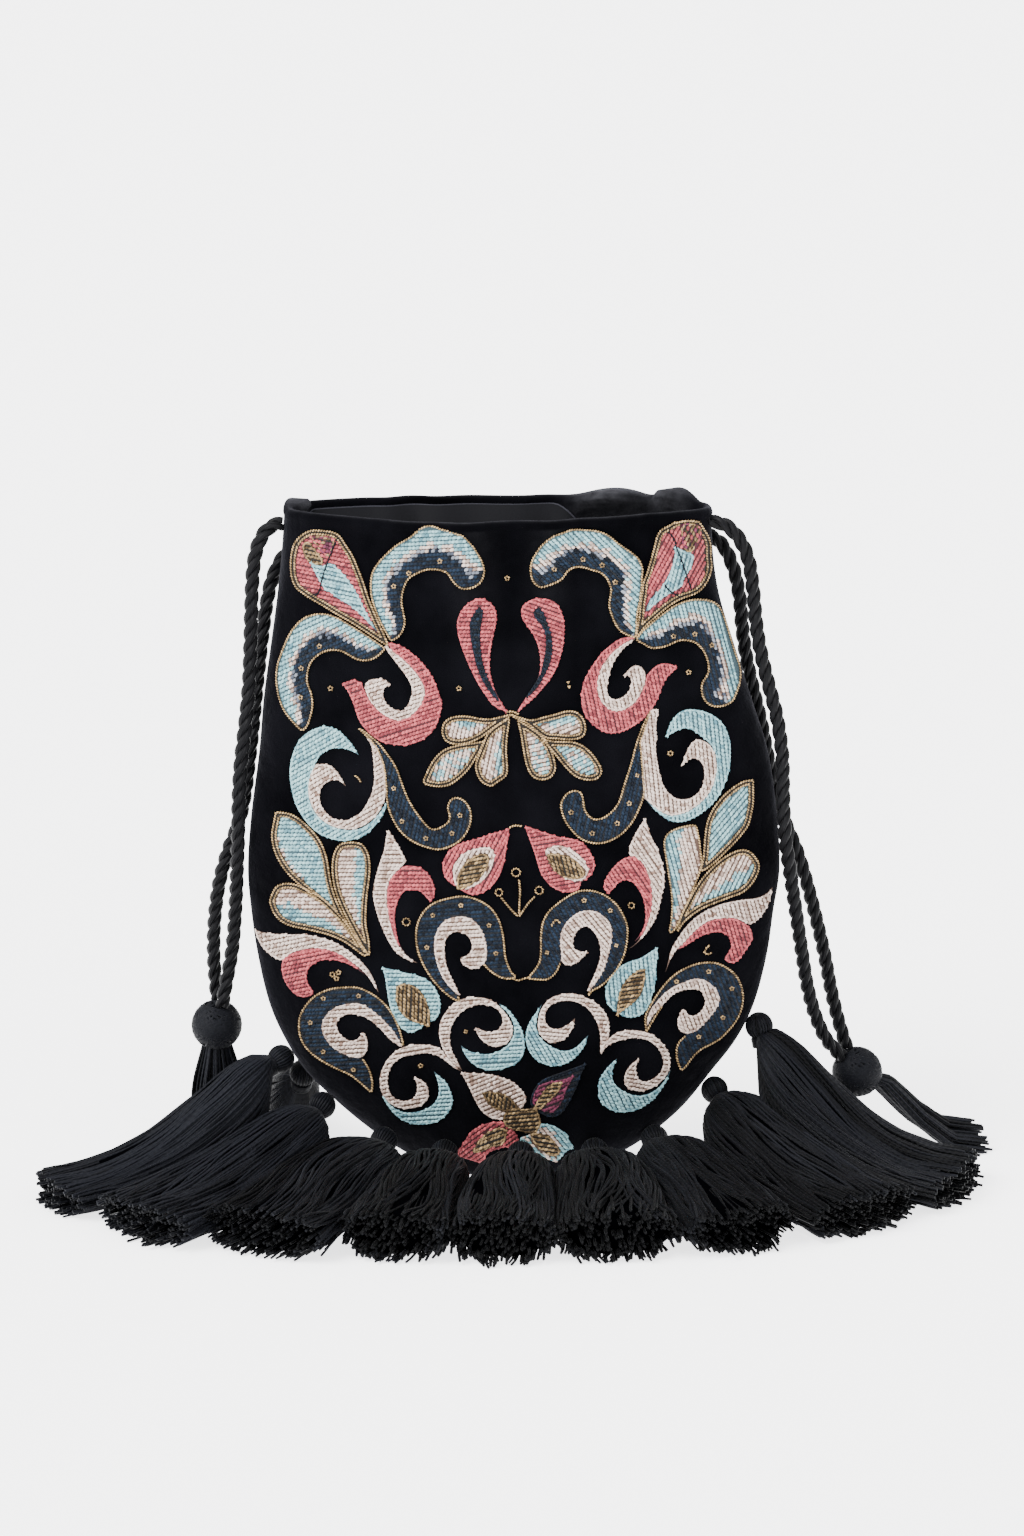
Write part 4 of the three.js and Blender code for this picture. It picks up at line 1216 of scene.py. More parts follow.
motif(
    "right cream scroll", -84, one[cream],
    [(650, 710), (658, 709), (657, 717), (656, 727), (656, 740), (656, 752), (658, 764), (660, 776),
     (664, 786), (669, 793), (676, 798), (684, 799), (692, 797), (699, 791), (703, 783), (704, 774),
     (703, 766), (699, 760), (693, 758), (688, 760), (681, 767), (681, 767), (684, 757), (688, 748),
     (692, 742), (697, 739), (702, 740), (709, 744), (714, 752), (716, 761), (716, 771), (714, 782),
     (710, 791), (704, 799), (696, 806), (686, 812), (676, 815), (668, 815), (660, 811), (652, 805),
     (645, 798), (643, 790), (643, 778), (642, 765), (641, 752), (640, 742), (643, 733), (646, 724),
     (648, 716)],
)
motif(
    "right navy hook", 78, one[navy],
    [(650, 711), (650, 711), (643, 725), (638, 738), (635, 748), (632, 760), (628, 773), (624, 785),
     (621, 796), (617, 805), (610, 813), (602, 818), (594, 819), (588, 815), (584, 808), (583, 800),
     (581, 793), (576, 790.5), (569, 792), (564, 797), (561, 804), (562, 812), (566, 822), (572, 830),
     (579, 837), (588, 841.5), (598, 843), (608, 841), (618, 836), (626, 829), (633, 820), (638, 810),
     (642, 800), (644, 790), (643, 778), (642, 765), (641, 752), (640, 742), (644, 730)],
    gold=1,
)
motif(
    "right upper leaf", 50, one[blue],
    [(752, 780), (752, 780), (744, 781), (736, 785), (728, 791), (720, 799), (712, 810), (707, 822),
     (705, 834), (704, 846), (703, 858), (700, 871), (700, 871), (706, 868), (716, 860), (724, 852),
     (732, 844), (740, 835), (747, 825), (750, 814), (752, 802), (752, 790)],
    gold=2,
)
motif(
    "right middle leaf", -75, (((blue,), 0.4), ((cream,), 1)),
    [(671, 932), (669, 932), (671, 920), (672, 905), (671, 890), (669, 878), (667, 864), (665, 852),
     (664, 842), (667, 834), (675, 829), (685, 826)],
    [(685, 826), (695, 825), (697, 832), (699, 842), (700, 852), (701, 862), (699, 872), (694, 885),
     (688, 900), (681, 915), (675, 928)],
    gold=1,
)
motif(
    "right lower leaf", 64, (((cream,), 0.58), ((blue,), 1)),
    [(677, 931), (681, 915), (687, 903), (694, 890), (702, 878), (711, 868), (720, 860), (729, 854),
     (739, 850), (748, 851), (755, 858)],
    [(755, 858), (758, 865), (756, 874), (750, 884), (741, 892), (728, 897), (715, 902), (703, 907),
     (692, 914), (683, 922), (677, 931)],
    gold=2,
)
motif(
    "right flame cream", -56, one[cream],
    [(645, 818), (645, 818), (648, 828), (652, 838), (657, 848), (661, 859), (664, 872), (664, 885),
     (661, 898), (658, 911), (653, 923), (647, 932), (640, 940), (633, 946), (628, 949), (628, 949),
     (636, 943), (643, 933), (648, 921), (651, 909), (652, 898), (651, 886), (648, 874), (643, 864),
     (636, 857), (630, 855), (629, 848), (632, 840), (637, 830)],
)
motif(
    "right flame coral", -56, one[coral],
    [(630, 856), (622, 859), (614, 866), (608, 874), (604, 882), (604, 888), (608, 894), (608, 894),
     (613, 889), (618, 883), (625, 880), (632, 882), (638, 889), (643, 899), (645, 910), (645, 921),
     (641, 932), (634, 942), (634, 942), (643, 933), (648, 921), (651, 909), (652, 898), (651, 886),
     (648, 874), (643, 864), (636, 857)],
)
motif(
    "right low flame cream", -74, one[cream],
    [(772, 887), (772, 887), (765, 894), (755, 898), (744, 899), (732, 901), (720, 904), (708, 909),
     (698, 915), (689, 923), (682, 931), (677, 939), (672, 947), (669, 957), (667, 966), (665, 973),
     (665, 973), (670, 960), (676, 950), (684, 942), (692, 933), (700, 926), (710, 920), (722, 918),
     (734, 918), (744, 922), (750, 924), (758, 919), (764, 911), (769, 901)],
)
motif(
    "right low flame coral", -74, one[coral],
    [(676, 950), (684, 942), (692, 933), (700, 926), (710, 920), (722, 918), (734, 918), (746, 924),
     (751, 930), (752, 938), (749, 945), (744, 952), (739, 959), (733, 963), (727, 962), (724, 958),
     (728, 952), (731, 945), (729, 938), (723, 933), (715, 932), (706, 934), (697, 938), (688, 944)],
)
motif(
    "right butterfly leaf", 10, one[coral],
    [(525, 826), (533, 828), (541, 831), (551, 834), (561, 837), (571, 838), (580, 841), (587, 847),
     (592, 855), (595, 864), (593, 872), (588, 878), (581, 882), (580, 887), (576, 891), (568, 892.5),
     (560, 891), (552, 887), (545, 880), (540, 872), (537, 862), (534, 852), (530, 841), (527, 833)],
)
motif(
    "right butterfly rim", -40, one[cream],
    [(545, 851), (551, 846), (558, 845), (567, 847), (576, 852), (583, 859), (588, 868), (587, 875),
     (582, 880), (570, 880), (558, 874), (549, 864)],
    level=1,
)
motif(
    "right butterfly almond", -75, one[gold_thread],
    [(547, 854), (556, 853), (566, 855), (575, 859), (581, 866), (585, 874), (581, 878), (573, 879),
     (564, 877), (556, 872), (550, 864)],
    level=2,
)
motif(
    "right centre paisley", -60, one[navy],
    [(588, 890), (578, 891), (568, 896), (558, 903), (549, 911), (543, 922), (541, 935), (541, 948),
     (540, 960), (536, 968), (531, 974), (528, 978), (528, 978), (539, 979), (547, 979), (553, 975),
     (557, 970), (560, 963), (563, 957), (566, 948), (566, 938), (569, 929), (576, 921), (586, 918),
     (596, 921), (603, 928), (606, 938), (606, 949), (604, 959), (600, 968), (596, 977), (591, 986),
     (588, 996), (588, 996), (592, 990), (600, 986), (608, 979), (615, 971),
     (621, 961), (625, 950), (627, 938), (627, 926), (623, 915), (617, 905), (608, 897), (598, 892)],
    gold=1,
)
motif(
    "right centre crook", -50, one[cream],
    [(585, 910), (576, 913), (568, 920), (562, 929), (560, 940), (561, 952), (562, 962), (568, 965),
     (576, 963), (583, 957), (588, 951), (588, 951), (580, 951), (574, 948), (573, 942), (575, 934),
     (580, 928), (586, 926), (592, 930), (597, 937), (600, 946), (600, 957), (597, 967), (593, 977),
     (589, 985), (588, 991), (588, 991), (594, 985), (600, 976), (605, 966), (608, 955), (611, 944),
     (612, 933), (610, 923), (604, 916), (596, 911)],
    level=1,
)
motif(
    "right low paisley", -70, one[navy],
    [(646, 1031), (646, 1031), (645, 1017), (649, 1007), (655, 997), (662, 987), (670, 978), (679, 971),
     (689, 966), (698, 963), (708, 962), (717, 963), (727, 968), (735, 975), (740, 985), (742, 997),
     (740, 1009), (735, 1020), (728, 1029), (719, 1038), (709, 1044), (701, 1048), (693, 1055),
     (687, 1063), (681, 1070), (681, 1070), (677, 1060), (676, 1049), (679, 1041), (685, 1035),
     (690, 1026), (700, 1014), (706, 1002), (700, 990), (688, 986), (672, 994), (660, 1008)],
    gold=1,
)
motif(
    "right low crook", -70, one[cream],
    [(646, 1028), (646, 1028), (651, 1018), (658, 1009), (666, 1001), (673, 994), (682, 990), (691, 989),
     (699, 990), (704, 996), (704, 1004), (700, 1011), (694, 1015), (688, 1014), (684, 1009),
     (681, 1009), (681, 1009), (678, 1017), (677, 1024), (680, 1031), (687, 1033), (695, 1031),
     (702, 1025), (710, 1016), (716, 1008), (719, 999), (717, 991), (711, 984), (703, 979), (694, 978),
     (685, 981), (675, 985), (666, 991), (658, 999), (651, 1008), (647, 1018)],
    level=1,
)
motif(
    "right blue leaf", -84, one[blue],
    [(657, 947), (657, 947), (648, 953), (640, 958), (630, 961), (620, 966), (612, 974), (607, 983),
     (605, 993), (607, 1003), (613, 1010), (620, 1014), (625, 1017), (634, 1017), (642, 1014),
     (648, 1007), (652, 996), (655, 984), (656, 970), (657, 958)],
)
motif(
    "right blue leaf almond", 8, one[gold_thread],
    [(645, 969), (637, 970), (629, 976), (622, 985), (618, 996), (617, 1008), (616, 1016), (616, 1016),
     (626, 1008), (635, 1001), (641, 993), (644, 983)],
    level=1,
)
motif(
    "right inner ribbon", -5, one[cream],
    [(575, 1018), (575, 1018), (568, 1024), (560, 1028), (552, 1028), (546, 1023), (545, 1015),
     (548, 1008), (554, 1003), (562, 1001), (572, 1001), (581, 1004), (588, 1009), (594, 1017),
     (598, 1026), (600, 1036), (600, 1046), (600, 1054), (600, 1054), (608, 1040), (609, 1024),
     (606, 1014), (600, 1006), (592, 1000), (583, 996), (573, 993), (562, 994), (552, 997), (545, 1003),
     (540, 1011), (538, 1020), (538, 1030), (541, 1036), (547, 1041), (555, 1042), (563, 1040),
     (569, 1034), (573, 1027)],
)
motif(
    "right inner crescent", -60, one[blue],
    [(588, 1035), (588, 1035), (585, 1045), (580, 1052), (573, 1059), (564, 1064), (554, 1066),
     (544, 1064), (535, 1059), (529, 1051), (526, 1042), (526, 1032), (530, 1021), (536, 1012),
     (542, 1004), (542, 1004), (538, 1014), (536, 1024), (538, 1034), (544, 1041), (551, 1046),
     (560, 1050), (569, 1050), (577, 1046), (583, 1040)],
)
motif(
    "right outer ribbon", -10, one[cream],
    [(600, 1054), (605, 1048), (612, 1043), (621, 1040), (631, 1038), (641, 1038), (649, 1041),
     (656, 1046), (661, 1054), (663, 1063), (661, 1070), (657, 1075), (651, 1079), (644, 1081),
     (638, 1078), (636, 1071), (636, 1065), (640, 1058), (640, 1058), (633, 1062), (627, 1069),
     (624, 1077), (625, 1085), (630, 1089), (638, 1091), (646, 1090), (655, 1086), (662, 1080),
     (668, 1072), (670, 1063), (669, 1054), (664, 1045), (656, 1037), (647, 1032), (637, 1030),
     (627, 1030), (617, 1032), (610, 1037), (603, 1044)],
)
motif(
    "right outer crescent", -64, one[blue],
    [(617, 1058), (617, 1058), (610, 1064), (604, 1071), (599, 1080), (598, 1090), (600, 1100),
     (606, 1107), (614, 1111), (624, 1112), (635, 1110), (645, 1105), (654, 1098), (661, 1089),
     (667, 1079), (671, 1068), (671, 1068), (666, 1077), (660, 1085), (654, 1090), (646, 1094),
     (636, 1095), (626, 1092), (618, 1087), (613, 1080), (612, 1072), (614, 1065)],
)
motif(
    "right spray petal", 22, (((blue,), 0.45), ((cream,), 1)),
    [(511, 714), (522, 718), (532, 720), (544, 717), (556, 714), (567, 711), (576, 712), (582, 717)],
    [(582, 717), (585, 725), (584, 734), (578, 738), (568, 739), (557, 738), (546, 737), (536, 730),
     (526, 722), (514, 717)],
    gold=2,
)
motif(
    "right low spray petal", 26, (((blue, blue, cream), 1),),
    [(541, 738), (541, 738), (552, 741), (562, 741.5), (573, 742), (583, 746), (591, 753), (597, 761),
     (601, 769), (600, 775), (594, 779), (585, 779), (576, 776), (568, 769), (561, 761), (553, 751)],
    gold=2,
)
motif(
    "right centre spray petal", 12, (((cream, cream, blue), 1),),
    [(518, 720), (518, 720), (521, 733), (523, 745), (525, 757), (528, 768), (533, 776), (541, 779),
     (550, 777), (555, 769), (554, 760), (551, 750), (546, 741), (538, 733), (528, 726)],
    gold=2,
)

# The four-petalled flower at the foot, half under the fringe
motif(
    "foot petal grey", 22, one[cream],
    [(461, 1072), (461, 1072), (470, 1072.5), (480, 1073), (491, 1074), (502, 1077), (512, 1081),
     (519, 1087), (525, 1094), (526, 1101), (522, 1107), (516, 1112), (510, 1116), (503, 1119),
     (496, 1119), (488, 1116), (481, 1110), (476, 1102), (472, 1094), (468, 1085), (464, 1078)],
    shade=-0.12,
)
motif(
    "foot petal grey leaf", 80, one[gold_thread],
    [(482, 1092), (490, 1091), (500, 1092), (509, 1096), (515, 1102), (519, 1108), (512, 1111),
     (503, 1111), (494, 1108), (487, 1102)],
    level=1, shade=-0.2,
)
motif(
    "foot petal navy", 20, one[navy],
    [(586, 1063), (586, 1063), (575, 1067), (564, 1071), (553, 1075), (543, 1079), (536, 1086),
     (532, 1094), (530, 1102), (533, 1108), (542, 1114), (552, 1117), (560, 1114), (566, 1107),
     (571, 1098), (576, 1088), (580, 1077)],
    shade=-0.3,
)
motif(
    "foot petal magenta", 20, one[plum],
    [(574, 1075), (565, 1078), (555, 1080), (545, 1082), (537, 1087), (533, 1096), (533, 1104),
     (540, 1109), (550, 1112), (558, 1107), (563, 1099), (566, 1090), (570, 1082)],
    level=1,
)
motif(
    "foot petal magenta leaf", 4, one[gold_thread],
    [(562, 1082), (553, 1082), (545, 1088), (540, 1095), (536, 1102), (534, 1108), (541, 1108),
     (547, 1103), (553, 1097), (559, 1090)],
    level=2,
)
motif(
    "foot petal coral", 35, one[coral],
    [(455, 1153), (461, 1146), (466, 1138), (472, 1130), (481, 1125), (490, 1122), (500, 1121),
     (508, 1123), (514, 1130), (519, 1140), (517, 1147), (505, 1147), (497, 1149), (488, 1153),
     (482, 1162), (472, 1160), (463, 1157)],
    shade=-0.1,
)
motif(
    "foot petal coral leaf", 20, one[gold_thread],
    [(473, 1151), (477, 1142), (484, 1134), (492, 1129), (500, 1127), (507, 1129), (506, 1137),
     (503, 1144), (494, 1146), (486, 1149), (479, 1152)],
    level=1,
)
motif(
    "foot petal blue", -50, (((blue,), 0.3), ((cream,), 0.6), ((blue, cream), 1)),
    [(541, 1123), (550, 1124), (559, 1128), (566, 1134), (570, 1141), (574, 1147), (567, 1150),
     (561, 1157), (555, 1162)],
    [(555, 1162), (545, 1157), (535, 1153), (525, 1154), (521, 1148), (519, 1141), (522, 1136),
     (527, 1135), (536, 1130)],
)
motif(
    "foot petal blue leaf", -8, one[gold_thread],
    [(530, 1133), (538, 1132), (546, 1134), (553, 1139), (558, 1146), (560, 1152), (554, 1156),
     (546, 1153), (539, 1148), (533, 1141)],
    level=1,
)
motif(
    "foot centre", 5, one[gold_thread],
    [(505, 1112), (512, 1107), (520, 1108), (528, 1108), (536, 1107), (539, 1114), (541, 1122),
     (538, 1130), (530, 1133), (521, 1131), (512, 1129), (505, 1125), (503, 1118)],
    level=1, shade=-0.1,
)

# Small gold marks: rings as (x, y, radius), and lines
gold_rings = [
    (507, 578, 3), (331, 688, 3), (459, 688, 3), (406.5, 921.5, 5), (333, 974, 3.2), (339, 972, 3),
    (337, 978, 3), (516, 872, 5.5), (539, 890, 5.2), (499, 892, 4.6), (688, 672, 3), (670, 753, 3.2),
    (631, 905, 4), (568, 682, 1.8), (569, 686.5, 1.8), (440, 561, 3), (394, 586, 2.8), (409, 573, 2.8),
    (320, 646, 2.8), (302, 668, 2.8), (301, 697, 2.8), (394, 788, 2.6), (402, 821, 2.8), (426, 838, 2.8),
    (452, 833, 2.8), (460, 815, 2.8), (583, 559, 3), (602, 565, 3), (554, 569, 2.6), (615, 582, 3),
    (673, 636, 2.8), (694, 634, 2.8), (711, 645, 2.8), (637, 775, 2.4), (629, 803, 2.8), (617, 823, 3),
    (592, 833, 3), (571, 812, 3), (433, 915, 2.6), (461, 905, 2.6), (489, 925, 2.6), (427, 947, 2.6),
    (496, 953, 2.6), (324, 998, 2.6), (359, 995.5, 2.6), (311, 1022, 2.6), (324, 1051, 2.6),
    (354, 1069, 2.6), (584, 900, 2.8), (610, 910, 2.6), (547, 952, 2.4), (616, 945, 2.2), (708, 971, 2.8),
    (676, 981, 2.6), (731, 988, 2.6), (722, 1017, 2.6), (698, 1036, 2.6), (466, 1031, 2.4),
    (421, 1065, 2.8),
]
gold_lines = [
    [(519, 879), (520, 890), (519.5, 902), (519, 914)],
    [(501, 897), (506, 903), (511, 909), (518, 916)],
    [(535, 896), (529, 902), (524, 909), (519, 916)],
    [(509, 827.5), (513, 825.5), (517, 825), (522, 826)],
    [(551, 926), (556, 919), (560, 923)],
    [(704, 952), (706, 947), (709, 945)],
    [(703, 951), (707, 954), (711, 952)],
    [(355, 775), (359, 778), (361, 782)],
    [(506, 712), (512, 711), (519, 714)],
    [(513, 978), (518, 980), (524, 978), (529, 977)],
]
# Fine dark slits across the tulips
slits = [
    [(338, 538), (333, 549), (329, 560), (325, 571), (322, 582), (319, 593), (311, 596)],
    [(667, 531), (673, 538), (676, 548), (680, 558), (684, 570), (688, 582), (692, 594)],
    [(664, 584), (668, 590), (674, 594), (681, 597)],
]

# Stitches: lengths in pixels, slants in radians, and tones from 0, dark, to 1, light
row_pitch = 4.0
row_step = 0.5
row_wander = 0.25
shortest_row = 1.5
grain_length = 3.7
grain_slant = 0.36
grain_overlap = 0.9
band_scatter = 0.03
shade_strength = 1.6
tone_middle = {blue: 0.66, cream: 0.74, slate: 0.6, coral: 0.6, plum: 0.6, navy: 0.5, gold_thread: 0.3}
tone_spread = {thread: 0.34 for thread in (blue, cream, slate, coral, plum, navy)} | {gold_thread: 0.26}
row_width = {thread: 0.93 for thread in tone_middle} | {gold_thread: 0.76}
edge_pitch = 4.2
edge_inset = 1.1
edge_width = 0.8 * mm
stitch_height = 0.75 * mm
pixel_size = 0.377 * mm
# Gold thread: its beads, and how far the stitches stay off an edge with none, one or two lines
gold_pitch = 2.7
gold_gap = 3.6
gold_margins = (0.4, 1.6, 5.2)
bead_share = 0.62
bead_slant = 0.58
bead_width, bead_height = 0.72 * mm, 0.8 * mm
gold_lift = 0.7 * mm
ring_share, ring_thickness = 0.8, 0.75
# Slits: short dark stitches end to end
slit_pitch, slit_overlap = 4, 0.2
slit_width, slit_height, slit_lift = 0.7 * mm, 0.9 * mm, 0.75 * mm
# The ground, and the lift of each level and of the stitches over it
ground_step, ground_rim_step = 4.0, 3.0
ground_lift = 0.25 * mm
level_lift = 0.15 * mm
row_lift = 0.12 * mm


def inside(points, edge):
    """Which pixel points lie inside a closed edge."""
    x, y = points[:, 0:1], points[:, 1:2]
    x0, y0 = edge[:, 0], edge[:, 1]
    x1, y1 = np.roll(x0, -1), np.roll(y0, -1)
    crosses = (y0 > y) != (y1 > y)
    with np.errstate(divide="ignore", invalid="ignore"):
        at = x0 + (y - y0) * (x1 - x0) / (y1 - y0)
    return (np.logical_and(crosses, x < at).sum(axis=1) % 2) == 1


def distance(points, line):
    """How far pixel points are from a line of points."""
    a, b = line[:-1], line[1:]
    way = b - a
    span = np.maximum((way**2).sum(axis=1), 1e-9)
    from_a = points[:, None, :] - a[None]
    share = np.clip((from_a * way[None]).sum(axis=2) / span, 0, 1)
    near = from_a - share[:, :, None] * way[None]
    return np.sqrt((near**2).sum(axis=2)).min(axis=1)


def on_velvet(x, y):
    """Where the camera's ray through a pixel meets the velvet, and the velvet's outward side."""
    right = (x - photo_size[0] / 2) * pixel_slope
    up = (photo_size[1] / 2 - y) * pixel_slope
    way = camera_turn @ Vector((right, up, -1))
    place, outward, _, _ = velvet_face.ray_cast(camera_place, way.normalized())
    return place, outward


class Grains:
    """Stitches or beads of one thread, gathered as points for the tree."""

    def __init__(self):
        self.places, self.along, self.out, self.size, self.tone = [], [], [], [], []

    def add(self, start, end, width, height, lift, tone, turn=0.0):
        """One grain between two pixels, turned aslant on the velvet and lifted off it."""
        (a, n), (b, _) = on_velvet(*start), on_velvet(*end)
        if a is None or b is None:
            return
        way = b - a
        if way.length < 1e-6:
            return
        if turn:
            way = Matrix.Rotation(turn, 3, n) @ way
        self.places.append((a + b) / 2 + n * lift)
        self.along.append(way.normalized())
        self.out.append(n)
        self.size.append((way.length, width, height))
        self.tone.append(tone)


grain_tree, source, sink = new_tree("stitches")
grain = node(grain_tree, "GeometryNodeMeshIcoSphere", {"Radius": 0.5, "Subdivisions": 1})
reading = {}
for key in ("along", "out", "size"):
    reading[key] = node(
        grain_tree, "GeometryNodeInputNamedAttribute", {"Name": key}, data_type="FLOAT_VECTOR"
    ).outputs["Attribute"]
turned = node(
    grain_tree,
    "FunctionNodeAxesToRotation",
    {"Primary Axis": reading["out"], "Secondary Axis": reading["along"]},
    primary_axis="Z",
    secondary_axis="X",
)
stood = node(
    grain_tree,
    "GeometryNodeInstanceOnPoints",
    {
        "Points": source.outputs["Geometry"],
        "Instance": grain.outputs["Mesh"],
        "Rotation": turned.outputs[0],
        "Scale": reading["size"],
    },
)
finish_tree(grain_tree, source, sink, stood.outputs[0])


def silk(name, colour, dark, roughness, **constants):
    """Embroidery thread: each stitch has its own tone between a darker and a lighter one."""
    material, tree, shader = new_material(name, colour, roughness, **constants)
    tone = node(tree, "ShaderNodeAttribute", attribute_name="tone")
    ramp = node(tree, "ShaderNodeValToRGB", {"Fac": tone.outputs["Fac"]})
    ramp.color_ramp.elements[0].color = srgb(dark)
    ramp.color_ramp.elements[1].color = srgb(colour)
    tree.links.new(ramp.outputs[0], shader.inputs["Base Color"])
    return material


# Embroidery silks: pale blue and cream are the brightest and a little glossy, slate and coral are
# duller, and plum and navy are nearly lost on the velvet. The gold is a gilt thread that glints on its
# turns. Each ground is its silk's colour darkened, a painted shade for the dark between the stitches.
silks = {
    blue: silk("light blue silk", "#8AB1B4", "#48707A", 0.6, Specular_IOR_Level=0.25),
    cream: silk("cream silk", "#C8B6AB", "#765E52", 0.6, Specular_IOR_Level=0.25),
    slate: silk("slate silk", "#858A93", "#3C424E", 0.6, Specular_IOR_Level=0.2),
    coral: silk("coral silk", "#AC5054", "#64252C", 0.6, Specular_IOR_Level=0.2),
    plum: silk("plum silk", "#6C3046", "#280E18", 0.6, Specular_IOR_Level=0.15),
    navy: silk("navy silk", "#182433", "#080C13", 0.6, Specular_IOR_Level=0.1),
    gold_thread: silk("gold thread", "#B4966A", "#3A2A14", 0.45, Metallic=0.3, Specular_IOR_Level=0.3),
}
grounds = {
    thread: new_material(thread + " ground", colour, 0.9)[0]
    for thread, colour in (
        (blue, "#2C4249"), (cream, "#4A382E"), (slate, "#1A1D24"), (coral, "#3A1218"),
        (plum, "#180810"), (navy, "#04060B"), (gold_thread, "#120D06"),
    )
}

grains = {thread: Grains() for thread in silks}
ground_parts = {thread: ([], []) for thread in silks}
rng = np.random.default_rng(21)


def tone_of(thread, shade):
    """A stitch's own tone, from 0 for the thread's darker end to 1 for its lighter one."""
    tone = tone_middle[thread] + tone_spread[thread] * rng.standard_normal() + shade_strength * shade
    return float(np.clip(tone, 0, 1))


def gold_cord(line, thick=1.0):
    """Couched gold thread: beads of its two plies, set aslant along a line of pixels."""
    steps = even_line(line, gold_pitch)
    for a, b in zip(steps[:-1], steps[1:]):
        middle, half = (a + b) / 2, (b - a) * bead_share
        grains[gold_thread].add(
            middle - half, middle + half, bead_width * thick, bead_height * thick, gold_lift,
            0.2 + 0.8 * rng.random(), bead_slant,
        )


for row in motifs.values():
    outer = smooth_line(row["edge"], 6, closed=row["inner"] is None)
    if row["inner"] is not None:
        inner_line = smooth_line(row["inner"], 6)
        row["outline"] = np.concatenate([outer, inner_line])
        row["lines"] = (outer, inner_line)
    else:
        row["outline"] = outer
        row["lines"] = None
    row["closed"] = np.concatenate([row["outline"], row["outline"][:1]])

